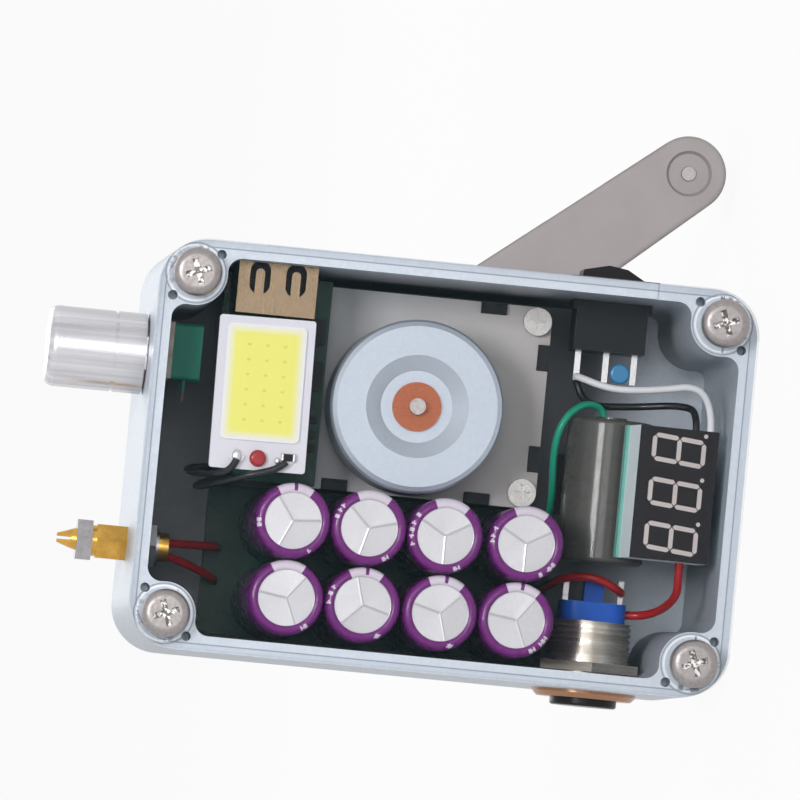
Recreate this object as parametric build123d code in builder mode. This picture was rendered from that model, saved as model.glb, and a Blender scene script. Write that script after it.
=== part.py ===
from build123d import *
import math
import os

# Hand crank phone charger in a diecast box, standing on its plain end wall.
# +Z is the box's length, +X its width, +Y runs from the open front into the box.
# The origin is the centre of the outer face of the plain end wall.
# On the open face, "along" is measured towards the plain end from the box's middle,
# "across" towards +X, and "depth" into the box from the rim.
os.makedirs("parts", exist_ok=True)

# ---- driving dimensions, mm ----
BOX_LENGTH = 100.0
BOX_WIDTH = 68.0
BODY_DEPTH = 47.0
CORNER_RADIUS = 8.0
BACK_ROUND = 2.0
WALL = 2.6
FLOOR = 2.6
DRAFT = 1.0
LIP_WIDTH = 1.3
LEDGE_DROP = 0.5
BOSS_RADIUS = 5.3
BOSS_INSET_LONG = 6.0
BOSS_INSET_WIDE = 5.7
BOSS_BLEND = 2.4
PAD_RADIUS = 4.7
PIN_HOLE_RADIUS = 0.8
PIN_HOLE_DEPTH = 5.0
PIN_ALONG = (40.0, 47.5)
PIN_ACROSS = (31.7, 24.3)

COVER_THICKNESS = 3.0
COVER_HOLE_RADIUS = 2.2
COVER_EDGE = 0.4
SCREW_HEAD_RADIUS = 4.0
SCREW_HEAD_HEIGHT = 2.6
SCREW_DOME = 1.4
SCREW_SHANK_RADIUS = 1.9
SCREW_LENGTH = 16.0
SCREW_RECESS_SPAN = 4.4
SCREW_RECESS_WIDTH = 1.0
SCREW_RECESS_DEPTH = 1.5
SCREW_CLEARANCE = 0.1

ROTOR_ALONG = -4.6
ROTOR_ACROSS = 10.2
CAN_RADIUS = 14.5
CAN_PLATE_GAP = 4.2
CAN_LENGTH = 12.0
CAN_WALL = 1.2
CAN_EDGE = 1.1
DISH_RADIUS = 8.6
DISH_FLOOR_RADIUS = 6.0
DISH_DROP = 1.6
ROTOR_BUSH_RADIUS = 4.1
ROTOR_BUSH_LENGTH = 2.4
ROTOR_SHAFT_RADIUS = 1.35
ROTOR_SHAFT_PROUD = 0.7
MAGNET_THICKNESS = 1.4
MAGNET_LENGTH = 8.0
AIR_GAP = 0.4
STATOR_TEETH = 9
STATOR_STACK = 5.0
STATOR_HUB_RADIUS = 4.4
STATOR_TOOTH_WIDTH = 1.8
STATOR_SHOE = 1.0
COIL_BUILD = 0.9
TUBE_RADIUS = 2.7
MOUNT_FLANGE_RADIUS = 6.5
MOUNT_FLANGE = 2.0
ROTOR_CLEARANCE = 0.05

MODULE = 0.5
ADDENDUM = 0.9
DEDENDUM = 1.25
PRESSURE_ANGLE = 20.0
BACKLASH = 0.1
CRANK_TEETH = 48
MIDDLE_TEETH = 36
LAST_TEETH = 28
PINION_TEETH = 12
CRANK_MESH_ANGLE = 8.0
GEAR_WIDTH = 3.0
GEAR_STEP = 1.6
PINION_REACH = 0.5
AXLE_RADIUS = 0.8
AXLE_CLEARANCE = 0.05
GEAR_GAP = 0.5

GEARBOX_DEEP = 19.2
PLATE_THICKNESS = 1.4
PLATE_CORNER = 2.5
GEARBOX_WALL = 1.4
GEARBOX_BACK_WALL = 1.8
GEARBOX_POST_RADIUS = 2.2
GEARBOX_SCREW_INSET = 2.5
GEARBOX_SCREW_RADIUS = 1.1
GEARBOX_HEAD_RADIUS = 2.35
GEARBOX_HEAD_HEIGHT = 1.3
RING_BOSS_RADIUS = 2.45
RING_BOSS_HEIGHT = 0.4
TAB_WIDTH = 4.2
TAB_DEPTH = 1.8
TAB_PROUD = 0.9
TAB_FROM_RIGHT = 9.9
TAB_FROM_TOP = 8.4
TAB_CLEARANCE = 0.1

CRANK_LENGTH = 64.0
CRANK_ANGLE = 39.5
CRANK_ALONG = -8.2
CRANK_ACROSS = 15.1
CRANK_SHAFT_RADIUS = 3.0
CRANK_BUSH_RADIUS = 4.5
CRANK_FLANGE_RADIUS = 6.2
CRANK_FLANGE = 0.7
CRANK_GAP = 0.5
ARM_THICKNESS = 4.5
ARM_HUB_RADIUS = 7.8
ARM_TIP_RADIUS = 6.4
ARM_EDGE = 0.9
ARM_RIM = 1.6
ARM_POCKET = 2.6
ARM_RIB = 1.4
DIMPLE_RADIUS = 3.9
DIMPLE_DEPTH = 0.8
SQUARE_SIDE = 4.2
SQUARE_CLEARANCE = 0.05
HUB_BOSS_RADIUS = 4.6
TIP_BOSS_RADIUS = 3.4
CRANK_SCREW_RADIUS = 1.2
CRANK_SCREW_LENGTH = 7.0
CRANK_HEAD_RADIUS = 2.9
CRANK_HEAD_HEIGHT = 2.0
HANDLE_GAP = 0.4
HANDLE_LENGTH = 21.0
HANDLE_RADIUS = 4.5
HANDLE_END_RADIUS = 5.0
HANDLE_NECK_RADIUS = 4.1
HANDLE_PIN_RADIUS = 1.2
HANDLE_HEAD_RADIUS = 2.4
HANDLE_HEAD_HEIGHT = 1.0
HANDLE_RECESS = 1.6
PIN_CLEARANCE = 0.06

POT_ACROSS = 14.8
POT_DEPTH = 17.0
POT_SIZE = 9.4
POT_LENGTH = 4.8
POT_OFFSET = 0.9
POT_BRACKET = 1.2
POT_BUSH_RADIUS = 3.4
POT_BUSH_PROUD = 4.0
POT_NUT_FLATS = 9.4
POT_NUT_THICKNESS = 1.8
POT_SHAFT_RADIUS = 2.95
POT_SHAFT_PROUD = 12.0
POT_PIN_LENGTH = 3.5
POT_PIN_PITCH = 2.5
POT_PIN_WIDTH = 0.8
KNOB_RADIUS = 6.75
KNOB_LENGTH = 16.2
KNOB_GAP = 0.4
KNOB_EDGE = 1.5
KNOB_RECESS_RADIUS = 5.8
KNOB_RECESS_DEPTH = 4.4
KNOB_GROOVE_AT = 4.7
KNOB_GROOVE = 0.25
KNOB_BORE_CLEARANCE = 0.05
BUSH_CLEARANCE = 0.05

POST_ACROSS = -16.8
POST_DEPTH = 22.0
POST_HEX_FLATS = 5.6
POST_HEX_LENGTH = 5.0
POST_SHANK_RADIUS = 2.4
POST_SHANK_INSIDE = 4.0
POST_STUD_RADIUS = 1.9
POST_COLLAR_RADIUS = 2.6
POST_COLLAR = 0.8
POST_NUT_FLATS = 6.6
POST_NUT_THICKNESS = 2.6
POST_TIP_LENGTH = 3.2
POST_TIP_RADIUS = 0.8
POST_SLOT = 0.5
POST_CLEARANCE = 0.1
INNER_NUT_FLATS = 7.0
INNER_NUT_THICKNESS = 1.8
TAG_THICKNESS = 0.5
TAG_WIDTH = 6.0
TAG_LENGTH = 8.0

USB_WIDTH = 13.2
USB_HEIGHT = 15.6
USB_LENGTH = 11.2
USB_PLATE_GAP = 4.6
USB_ALONG = -30.0
USB_PORT_WIDTH = 12.4
USB_PORT_HEIGHT = 5.2
USB_PORT_PITCH = 8.0
USB_TONGUE_THICKNESS = 1.9
USB_TONGUE_WIDTH = 10.6
USB_TONGUE_SETBACK = 1.6
USB_WINDOW_WIDTH = 3.4
USB_WINDOW_LENGTH = 5.6
USB_WINDOW_PITCH = 6.0
USB_WINDOW_BACK = 6.0
USB_SPRING_WIDTH = 1.5
USB_SPRING_SHIFT = 1.3
USB_CLEARANCE = 0.2
USB_BACK_WALL = 2.0

BOARD_THICKNESS = 1.6
CHARGER_LEFT = -37.6
CHARGER_CAN_GAP = 0.5
CHARGER_CAP_GAP = 0.4
CHARGER_TOP_GAP = 1.0
COB_LONG = 16.0
COB_WIDE = 25.4
COB_ALONG = -30.95
COB_ACROSS = 9.5
COB_TURN = 0.9
COB_DEPTH = 3.0
COB_THICKNESS = 1.2
PHOSPHOR_LONG = 13.2
PHOSPHOR_WIDE = 19.3
PHOSPHOR_OFFSET = 1.8
PHOSPHOR_HEIGHT = 0.5
COB_POST_RADIUS = 1.5
COB_POST_ALONG = 3.2
COB_POST_ACROSS = 9.6
INDICATOR_RADIUS = 1.4
INDICATOR_HEIGHT = 1.2
PAD_LONG = 2.6
PAD_WIDE = 1.6
PAD_HEIGHT = 0.5
COB_PAD_ACROSS = -10.7
COB_PADS_ALONG = (-3.5, 4.7)
INDUCTOR_SIZE = 5.0
INDUCTOR_HEIGHT = 2.8
CHIP_LONG = 2.4
CHIP_WIDE = 4.4
CHIP_HEIGHT = 1.3
CHIP_ROW = 3
CHIP_EDGE = 0.6
CHIP_OFFSET = 8.5
INDUCTOR_OFFSET = 1.2

CAP_RADIUS = 6.0
CAP_SLEEVE = 0.3
CAP_DEPTH = 2.0
CAP_GAP = 0.15
CAP_WALL_GAP = 0.6
CAP_PITCH_GAP = 0.3
CAP_COLUMNS = 4
CAP_FIRST_ALONG = -23.7
CAP_NUDGES = ((-0.2, 0.05), (-0.25, 0.1), (-0.35, 0.05), (-0.45, 0.1),
              (-0.3, -0.05), (-0.6, 0.0), (-0.5, 0.0), (0.0, 0.0))
CAP_FACE_RADIUS = 4.7
CAP_SLEEVE_EDGE = 0.5
CAP_FACE_DROP = 0.35
VENT_LENGTH = 3.6
VENT_WIDTH = 0.35
VENT_DEPTH = 0.2
CAP_BOARD_LEFT_EDGE = 5.5
CAP_BOARD_RIGHT_EDGE = 1.6
CAP_BOARD_GAP = 0.2
FLOOR_PAD_RADIUS = 2.5
FLOOR_PAD_HEIGHT = 0.8

ROCKER_ALONG = 27.2
ROCKER_DEPTH = 21.0
ROCKER_BODY_LONG = 13.2
ROCKER_COLLAR = 4.4
ROCKER_CASE_LONG = 12.0
ROCKER_BODY_DEEP = 8.4
ROCKER_BODY_HEIGHT = 11.3
ROCKER_BEZEL_LONG = 15.0
ROCKER_BEZEL_DEEP = 10.4
ROCKER_BEZEL = 1.0
ROCKER_POCKET_LONG = 12.3
ROCKER_POCKET_DEEP = 7.2
ROCKER_POCKET_HEIGHT = 4.6
ROCKER_LONG = 11.3
ROCKER_DEEP = 6.8
ROCKER_FOOT = 4.4
ROCKER_CROWN = 3.0
ROCKER_SHOULDER = 1.4
ROCKER_FLAT = 3.2
ROCKER_DROP = 2.6
ROCKER_PIVOT_DROP = 1.4
ROCKER_TILT = 8.0
TRUNNION_RADIUS = 0.8
TRUNNION_LENGTH = 0.45
ROCKER_CLEARANCE = 0.1
TERMINAL_PITCH = 4.75
TERMINAL_LONG = 1.0
TERMINAL_DEEP = 0.7
TERMINAL_LENGTH = 5.0

BUTTON_ALONG = 28.8
BUTTON_DEPTH = 22.0
BUTTON_BEZEL_RADIUS = 8.7
BUTTON_BEZEL = 1.3
BUTTON_BEVEL = 0.8
BUTTON_BARREL_RADIUS = 6.9
BUTTON_BARREL_INSIDE = 8.5
BUTTON_BARREL_WALL = 1.0
BUTTON_CAP_RADIUS = 5.6
BUTTON_CAP_PROUD = 1.3
BUTTON_TRAVEL = 1.2
BUTTON_CAP_LENGTH = 5.0
BUTTON_STOP_RADIUS = 1.6
BUTTON_CLEARANCE = 0.08
BUTTON_NUT_FLATS = 16.4
BUTTON_NUT_THICKNESS = 1.6
BUTTON_HOLE_CLEARANCE = 0.1
BASE_LONG = 10.9
BASE_HEIGHT = 3.2
BASE_CORNER = 2.5
NUB_WIDTH = 3.2
NUB_HEIGHT = 4.4
BUTTON_PIN_SPACING = 9.2
BUTTON_PIN_LENGTH = 4.0
BUTTON_PIN_SIDE = 0.9
THREAD_PITCH = 1.0
THREAD_GROOVE = 0.3

DISPLAY_LONG = 13.5
DISPLAY_WIDE = 22.1
DISPLAY_HEIGHT = 7.2
DISPLAY_GAP = 1.8
DISPLAY_ACROSS = -0.5
DISPLAY_DEPTH = 3.2
DISPLAY_TILT = 8.5
DISPLAY_BOARD_EXTRA = 0.5

CELL_RADIUS = 7.25
CELL_LENGTH = 24.0
CELL_ALONG = 29.0
CELL_ACROSS = -0.6
CELL_DEPTH = 19.5
CELL_EDGE = 0.8
CELL_CAP_RADIUS = 2.6
CELL_CAP_HEIGHT = 0.5
CELL_SEAT_CLEARANCE = 0.05
BRACKET_BASE = 1.6
BRACKET_LEFT = 22.0
BRACKET_RIGHT = 44.6
BRACKET_CAP_GAP = 0.4
BRACKET_TOP = 6.0
CRADLE_LONG = 10.0
CRADLE_RISE = 3.0
DISPLAY_POST_LONG = 6.0
DISPLAY_POST_WIDE = 6.0

BEAD_CAP_RADIUS = 1.7
BEAD_CAP_THICKNESS = 1.4

THIN_WIRE = 0.6
RED_WIRE = 0.7
WIRE_RUN = 2.0
WIRE_DROP = 1.3

# ---- derived places ----
RIM_Y = COVER_THICKNESS - (BODY_DEPTH + COVER_THICKNESS) / 2
HALF_LENGTH = BOX_LENGTH / 2
HALF_WIDTH = BOX_WIDTH / 2
FLOOR_DEPTH = BODY_DEPTH - FLOOR
PLATE_FRONT = FLOOR_DEPTH - GEARBOX_DEEP
CAN_FRONT = PLATE_FRONT - CAN_PLATE_GAP - CAN_LENGTH
USB_DEPTH = PLATE_FRONT - USB_PLATE_GAP - USB_HEIGHT
BOSS_ALONG = HALF_LENGTH - BOSS_INSET_LONG
BOSS_ACROSS = HALF_WIDTH - BOSS_INSET_WIDE


def face(depth):
    """Plane parallel to the rim, seen from the open front; extruding by a minus goes deeper."""
    return Plane(origin=(0, RIM_Y + depth, HALF_LENGTH), x_dir=(0, 0, -1), z_dir=(0, -1, 0))


def spot(along, across, depth):
    """A place in the box as a point of the part's own frame."""
    return Vector(across, RIM_Y + depth, HALF_LENGTH - along)


def wall_at(depth):
    """Thickness of the tapered side walls at a depth below the rim."""
    return WALL + depth * math.tan(math.radians(DRAFT))


def write(part, name):
    part.label = name
    export_step(part, "parts/" + name + ".step")


def pitch_radius(teeth):
    return MODULE * teeth / 2


def tip_radius(teeth):
    return pitch_radius(teeth) + ADDENDUM * MODULE


def involute(angle):
    return math.tan(angle) - angle


def tooth_half_angle(teeth, radius):
    """Half the angle that a tooth takes up at a radius, in radians."""
    pressure = math.radians(PRESSURE_ANGLE)
    base = pitch_radius(teeth) * math.cos(pressure)
    at_pitch = math.pi / (2 * teeth) - BACKLASH / (2 * pitch_radius(teeth))
    here = math.acos(min(1.0, base / radius))
    return at_pitch + involute(pressure) - involute(here)


def gear_points(teeth, turn):
    """Tooth outline with straight root flanks and involute sides, one tooth at angle turn."""
    root = pitch_radius(teeth) - DEDENDUM * MODULE
    radii = (root, pitch_radius(teeth), tip_radius(teeth))
    points = []
    for tooth in range(teeth):
        middle = math.radians(turn) + 2 * math.pi * tooth / teeth
        rising = [(r, middle - tooth_half_angle(teeth, r)) for r in radii]
        falling = [(r, middle + tooth_half_angle(teeth, r)) for r in reversed(radii)]
        points += [(r * math.cos(a), r * math.sin(a)) for r, a in rising + falling]
    return points


def meshed_turn(driver_turn, driver_teeth, driven_teeth, line_angle):
    """Turn of a driven gear whose gap meets the driver's tooth on the line of centres."""
    phase = (line_angle - driver_turn) * driver_teeth / 360
    return line_angle + 180 - (0.5 - phase) * 360 / driven_teeth


def heading(start, end):
    return math.degrees(math.atan2(end[1] - start[1], end[0] - start[0]))


def stepped(start, distance, angle):
    turn = math.radians(angle)
    return (start[0] + distance * math.cos(turn), start[1] + distance * math.sin(turn))


# ---- gear train places: crank, middle, last, rotor ----
ROTOR = (ROTOR_ALONG, ROTOR_ACROSS)
CRANK = (CRANK_ALONG, CRANK_ACROSS)
CRANK_DISTANCE = pitch_radius(CRANK_TEETH) + pitch_radius(PINION_TEETH)
MIDDLE_DISTANCE = pitch_radius(MIDDLE_TEETH) + pitch_radius(PINION_TEETH)
LAST_DISTANCE = pitch_radius(LAST_TEETH) + pitch_radius(PINION_TEETH)
MIDDLE = stepped(CRANK, CRANK_DISTANCE, CRANK_MESH_ANGLE)
SPAN = math.dist(ROTOR, MIDDLE)
LAST_BEND = math.degrees(math.acos((LAST_DISTANCE ** 2 + SPAN ** 2 - MIDDLE_DISTANCE ** 2)
                                   / (2 * LAST_DISTANCE * SPAN)))
LAST = stepped(ROTOR, LAST_DISTANCE, heading(ROTOR, MIDDLE) - LAST_BEND)
MIDDLE_TURN = meshed_turn(0, CRANK_TEETH, PINION_TEETH, heading(CRANK, MIDDLE))
LAST_TURN = meshed_turn(MIDDLE_TURN, MIDDLE_TEETH, PINION_TEETH, heading(MIDDLE, LAST))
ROTOR_TURN = meshed_turn(LAST_TURN, LAST_TEETH, PINION_TEETH, heading(LAST, ROTOR))

# depths of the three gear layers, from the plate towards the floor
GEARBOX_FRONT = PLATE_FRONT + PLATE_THICKNESS
LAST_LAYER = GEARBOX_FRONT + GEAR_STEP
MIDDLE_LAYER = LAST_LAYER + GEAR_WIDTH + GEAR_STEP
CRANK_LAYER = MIDDLE_LAYER + GEAR_WIDTH + GEAR_STEP
GEARBOX_BACK = FLOOR_DEPTH - GEARBOX_BACK_WALL

# gearbox outline, from the gears it holds
GEARBOX_TOP = CRANK[1] + tip_radius(CRANK_TEETH) + GEAR_GAP + GEARBOX_WALL
GEARBOX_BOTTOM = LAST[1] - tip_radius(LAST_TEETH) - 2 * GEAR_GAP - GEARBOX_WALL
GEARBOX_RIGHT = MIDDLE[0] + tip_radius(MIDDLE_TEETH) + GEAR_GAP + GEARBOX_WALL
GEARBOX_LEFT = (CRANK[0] - tip_radius(CRANK_TEETH) - GEAR_GAP - GEARBOX_POST_RADIUS
                - GEARBOX_SCREW_INSET)
GEARBOX_LONG = GEARBOX_RIGHT - GEARBOX_LEFT
GEARBOX_WIDE = GEARBOX_TOP - GEARBOX_BOTTOM
GEARBOX_CENTRE = ((GEARBOX_LEFT + GEARBOX_RIGHT) / 2, (GEARBOX_TOP + GEARBOX_BOTTOM) / 2)
GEARBOX_SCREWS = [(a, c) for a in (GEARBOX_LEFT + GEARBOX_SCREW_INSET,
                                   GEARBOX_RIGHT - GEARBOX_SCREW_INSET)
                  for c in (GEARBOX_BOTTOM + GEARBOX_SCREW_INSET,
                            GEARBOX_TOP - GEARBOX_SCREW_INSET)]
TAB_SPOTS_ALONG = [(GEARBOX_RIGHT - TAB_FROM_RIGHT, GEARBOX_TOP),
                   (GEARBOX_RIGHT - TAB_FROM_RIGHT, GEARBOX_BOTTOM),
                   (GEARBOX_LEFT + TAB_FROM_RIGHT, GEARBOX_BOTTOM)]
TAB_SPOTS_ACROSS = [(GEARBOX_RIGHT, GEARBOX_TOP - TAB_FROM_TOP),
                    (GEARBOX_RIGHT, GEARBOX_BOTTOM + TAB_FROM_TOP)]

# capacitor bank, from the long wall beside it
SLEEVE_RADIUS = CAP_RADIUS + CAP_SLEEVE
CAP_END = FLOOR_DEPTH - FLOOR_PAD_HEIGHT - BOARD_THICKNESS
CAP_LENGTH = CAP_END - CAP_DEPTH
CAP_ROW = wall_at(CAP_END) - HALF_WIDTH + CAP_WALL_GAP + SLEEVE_RADIUS
CAP_ROW_PITCH = 2 * SLEEVE_RADIUS + CAP_GAP
CAP_PITCH = 2 * SLEEVE_RADIUS + CAP_PITCH_GAP
CAP_GRID = [(CAP_FIRST_ALONG + CAP_PITCH * column, CAP_ROW + CAP_ROW_PITCH * row)
            for column in range(CAP_COLUMNS) for row in range(2)]
CAP_SPOTS = [(place[0] + nudge[0], place[1] + nudge[1])
             for place, nudge in zip(CAP_GRID, CAP_NUDGES)]
CAP_BOARD_LEFT = CAP_FIRST_ALONG - SLEEVE_RADIUS - CAP_BOARD_LEFT_EDGE
CAP_BOARD_RIGHT = CAP_FIRST_ALONG + CAP_PITCH * (CAP_COLUMNS - 1) + SLEEVE_RADIUS + CAP_BOARD_RIGHT_EDGE
CAP_BOARD_BOTTOM = CAP_ROW - SLEEVE_RADIUS + CAP_BOARD_GAP
CAP_BOARD_TOP = GEARBOX_BOTTOM - CAP_BOARD_GAP
CAP_BOARD_CENTRE = ((CAP_BOARD_LEFT + CAP_BOARD_RIGHT) / 2, (CAP_BOARD_BOTTOM + CAP_BOARD_TOP) / 2)
CAP_BOARD_LONG = CAP_BOARD_RIGHT - CAP_BOARD_LEFT
CAP_BOARD_WIDE = CAP_BOARD_TOP - CAP_BOARD_BOTTOM

# crank places behind the box
ARM_DEPTH = BODY_DEPTH + CRANK_FLANGE + CRANK_GAP
ARM_BACK = ARM_DEPTH + ARM_THICKNESS
TIP = stepped(CRANK, CRANK_LENGTH, CRANK_ANGLE)
HANDLE_DEPTH = ARM_BACK + HANDLE_GAP
HANDLE_END = HANDLE_DEPTH + HANDLE_LENGTH

# wall fittings
POT_WALL = wall_at(POT_DEPTH + POT_SIZE / 2)
POST_WALL = wall_at(POST_DEPTH + INNER_NUT_FLATS / 2)
POT_Y = RIM_Y + POT_DEPTH
POST_Y = RIM_Y + POST_DEPTH
USB_BACK = USB_DEPTH + USB_HEIGHT
USB_INNER = HALF_WIDTH - USB_LENGTH
USB_MIDDLE = USB_DEPTH + USB_HEIGHT / 2
ROCKER_Y = RIM_Y + ROCKER_DEPTH
ROCKER_Z = HALF_LENGTH - ROCKER_ALONG
ROCKER_PIVOT_X = HALF_WIDTH + ROCKER_BEZEL - ROCKER_PIVOT_DROP
BUTTON_Y = RIM_Y + BUTTON_DEPTH
BUTTON_Z = HALF_LENGTH - BUTTON_ALONG
BUTTON_WALL = wall_at(BUTTON_DEPTH + BUTTON_NUT_FLATS / math.sqrt(3))
BARREL_END = -HALF_WIDTH + BUTTON_WALL + BUTTON_BARREL_INSIDE


# ---- enclosure ----
with BuildSketch(face(0)) as cavity:
    RectangleRounded(BOX_LENGTH - 2 * WALL, BOX_WIDTH - 2 * WALL, CORNER_RADIUS - WALL)
    with GridLocations(2 * BOSS_ALONG, 2 * BOSS_ACROSS, 2, 2):
        Circle(BOSS_RADIUS, mode=Mode.SUBTRACT)
    corners = [v for v in cavity.vertices()
               if abs(abs(v.Z - HALF_LENGTH) - BOSS_ALONG) < 2 * BOSS_RADIUS]
    fillet(corners, BOSS_BLEND)

with BuildPart() as enclosure_box:
    with BuildSketch(face(0)):
        RectangleRounded(BOX_LENGTH, BOX_WIDTH, CORNER_RADIUS)
    extrude(amount=-BODY_DEPTH)
    fillet(enclosure_box.faces().sort_by(Axis.Y)[-1].edges(), BACK_ROUND)
    extrude(cavity.sketch, amount=-FLOOR_DEPTH, taper=DRAFT, mode=Mode.SUBTRACT)
    # outer ledge of the rim, lower than the lip that follows the opening
    with BuildSketch(face(0)):
        RectangleRounded(BOX_LENGTH + 1, BOX_WIDTH + 1, CORNER_RADIUS)
        offset(cavity.sketch, amount=LIP_WIDTH, mode=Mode.SUBTRACT)
        with GridLocations(2 * BOSS_ALONG, 2 * BOSS_ACROSS, 2, 2):
            Circle(PAD_RADIUS, mode=Mode.SUBTRACT)
    extrude(amount=-LEDGE_DROP, mode=Mode.SUBTRACT)
    # blind pin holes beside each cover screw
    with BuildSketch(face(0)):
        with GridLocations(2 * PIN_ALONG[0], 2 * PIN_ACROSS[0], 2, 2):
            Circle(PIN_HOLE_RADIUS)
        with GridLocations(2 * PIN_ALONG[1], 2 * PIN_ACROSS[1], 2, 2):
            Circle(PIN_HOLE_RADIUS)
    extrude(amount=-PIN_HOLE_DEPTH, mode=Mode.SUBTRACT)
    with BuildSketch(face(0)):
        with GridLocations(2 * BOSS_ALONG, 2 * BOSS_ACROSS, 2, 2):
            Circle(SCREW_SHANK_RADIUS + SCREW_CLEARANCE)
    extrude(amount=-SCREW_LENGTH, mode=Mode.SUBTRACT)
    # floor pads under the capacitor board
    with BuildSketch(face(FLOOR_DEPTH)):
        with Locations(CAP_BOARD_CENTRE):
            with GridLocations(CAP_BOARD_LONG - 4 * FLOOR_PAD_RADIUS,
                               CAP_BOARD_WIDE - 2 * FLOOR_PAD_RADIUS, 2, 2):
                Circle(FLOOR_PAD_RADIUS)
    extrude(amount=FLOOR_PAD_HEIGHT)
    # crank bush hole and gearbox screw holes in the floor
    with BuildSketch(face(FLOOR_DEPTH)):
        with Locations(CRANK):
            Circle(CRANK_BUSH_RADIUS + BUSH_CLEARANCE)
        with Locations(*GEARBOX_SCREWS):
            Circle(GEARBOX_SCREW_RADIUS + SCREW_CLEARANCE)
    extrude(amount=-FLOOR, mode=Mode.SUBTRACT)
    # holes for the control and the terminal in the upper end wall
    with BuildSketch(Plane.XY.offset(BOX_LENGTH)):
        with Locations((POT_ACROSS, POT_Y)):
            Circle(POT_BUSH_RADIUS + BUSH_CLEARANCE)
        with Locations((POST_ACROSS, POST_Y)):
            Circle(POST_SHANK_RADIUS + POST_CLEARANCE)
    extrude(amount=-2 * WALL, mode=Mode.SUBTRACT)
    # USB and rocker windows in the +X wall
    with BuildSketch(Plane.YZ.offset(HALF_WIDTH)):
        with Locations((RIM_Y + USB_MIDDLE, HALF_LENGTH - USB_ALONG)):
            Rectangle(USB_HEIGHT + 2 * USB_CLEARANCE, USB_WIDTH + 2 * USB_CLEARANCE)
        with Locations((ROCKER_Y, ROCKER_Z)):
            Rectangle(ROCKER_BODY_DEEP + 2 * ROCKER_CLEARANCE, ROCKER_BODY_LONG + 2 * ROCKER_CLEARANCE)
    extrude(amount=-2 * WALL, mode=Mode.SUBTRACT)
    # button hole in the -X wall
    with BuildSketch(Plane.YZ.offset(-HALF_WIDTH)):
        with Locations((BUTTON_Y, BUTTON_Z)):
            Circle(BUTTON_BARREL_RADIUS + BUTTON_HOLE_CLEARANCE)
    extrude(amount=2 * WALL, mode=Mode.SUBTRACT)
write(enclosure_box.part, "enclosure_box")

# ---- clear cover and its screws ----
with BuildPart() as front_cover:
    with BuildSketch(face(0)):
        RectangleRounded(BOX_LENGTH, BOX_WIDTH, CORNER_RADIUS)
        with GridLocations(2 * BOSS_ALONG, 2 * BOSS_ACROSS, 2, 2):
            Circle(COVER_HOLE_RADIUS, mode=Mode.SUBTRACT)
    extrude(amount=COVER_THICKNESS)
    outer_edges = front_cover.faces().sort_by(Axis.Y)[0].outer_wire().edges()
    chamfer(outer_edges, COVER_EDGE)
write(front_cover.part, "front_cover")

with BuildPart() as cover_screws:
    with GridLocations(2 * BOSS_ALONG, 2 * BOSS_ACROSS, 2, 2) as screw_places:
        spots = [(place.position.X, place.position.Y) for place in screw_places.locations]
    with BuildSketch(face(-COVER_THICKNESS)):
        with Locations(*spots):
            Circle(SCREW_HEAD_RADIUS)
    extrude(amount=SCREW_HEAD_HEIGHT)
    tops = cover_screws.faces().filter_by(Axis.Y).group_by(Axis.Y)[0]
    fillet(tops.edges(), SCREW_DOME)
    with BuildSketch(face(-COVER_THICKNESS)):
        with Locations(*spots):
            Circle(SCREW_SHANK_RADIUS)
    extrude(amount=-SCREW_LENGTH + SCREW_CLEARANCE)
    with BuildSketch(face(-COVER_THICKNESS - SCREW_HEAD_HEIGHT)):
        with Locations(*spots):
            Rectangle(SCREW_RECESS_SPAN, SCREW_RECESS_WIDTH, rotation=20)
            Rectangle(SCREW_RECESS_WIDTH, SCREW_RECESS_SPAN, rotation=20)
    extrude(amount=-SCREW_RECESS_DEPTH, mode=Mode.SUBTRACT)
write(cover_screws.part, "cover_screws")

# ---- gearbox shell, plate and screws ----
with BuildPart() as gearbox_housing:
    with BuildSketch(face(GEARBOX_FRONT)):
        with Locations(GEARBOX_CENTRE):
            RectangleRounded(GEARBOX_LONG, GEARBOX_WIDE, PLATE_CORNER)
    extrude(amount=-(FLOOR_DEPTH - GEARBOX_FRONT))
    with BuildSketch(face(GEARBOX_FRONT)):
        with Locations(GEARBOX_CENTRE):
            Rectangle(GEARBOX_LONG - 2 * GEARBOX_WALL, GEARBOX_WIDE - 2 * GEARBOX_WALL)
        with Locations(*GEARBOX_SCREWS):
            Circle(GEARBOX_POST_RADIUS, mode=Mode.SUBTRACT)
    extrude(amount=-(GEARBOX_BACK - GEARBOX_FRONT), mode=Mode.SUBTRACT)
    with BuildSketch(face(GEARBOX_FRONT)):
        with Locations(*GEARBOX_SCREWS):
            Circle(GEARBOX_SCREW_RADIUS + SCREW_CLEARANCE)
    extrude(amount=-(FLOOR_DEPTH - GEARBOX_FRONT), mode=Mode.SUBTRACT)
    with BuildSketch(face(GEARBOX_BACK)):
        with Locations(CRANK):
            Circle(CRANK_BUSH_RADIUS + BUSH_CLEARANCE)
    extrude(amount=-GEARBOX_BACK_WALL, mode=Mode.SUBTRACT)
    # clip tabs that reach through the notches of the plate
    with BuildSketch(face(GEARBOX_FRONT)):
        for along, across in TAB_SPOTS_ALONG:
            inward = math.copysign(TAB_DEPTH / 2, GEARBOX_CENTRE[1] - across)
            with Locations((along, across + inward)):
                Rectangle(TAB_WIDTH, TAB_DEPTH)
        for along, across in TAB_SPOTS_ACROSS:
            with Locations((along - TAB_DEPTH / 2, across)):
                Rectangle(TAB_DEPTH, TAB_WIDTH)
    extrude(amount=PLATE_THICKNESS + TAB_PROUD)
write(gearbox_housing.part, "gearbox_housing")

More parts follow.
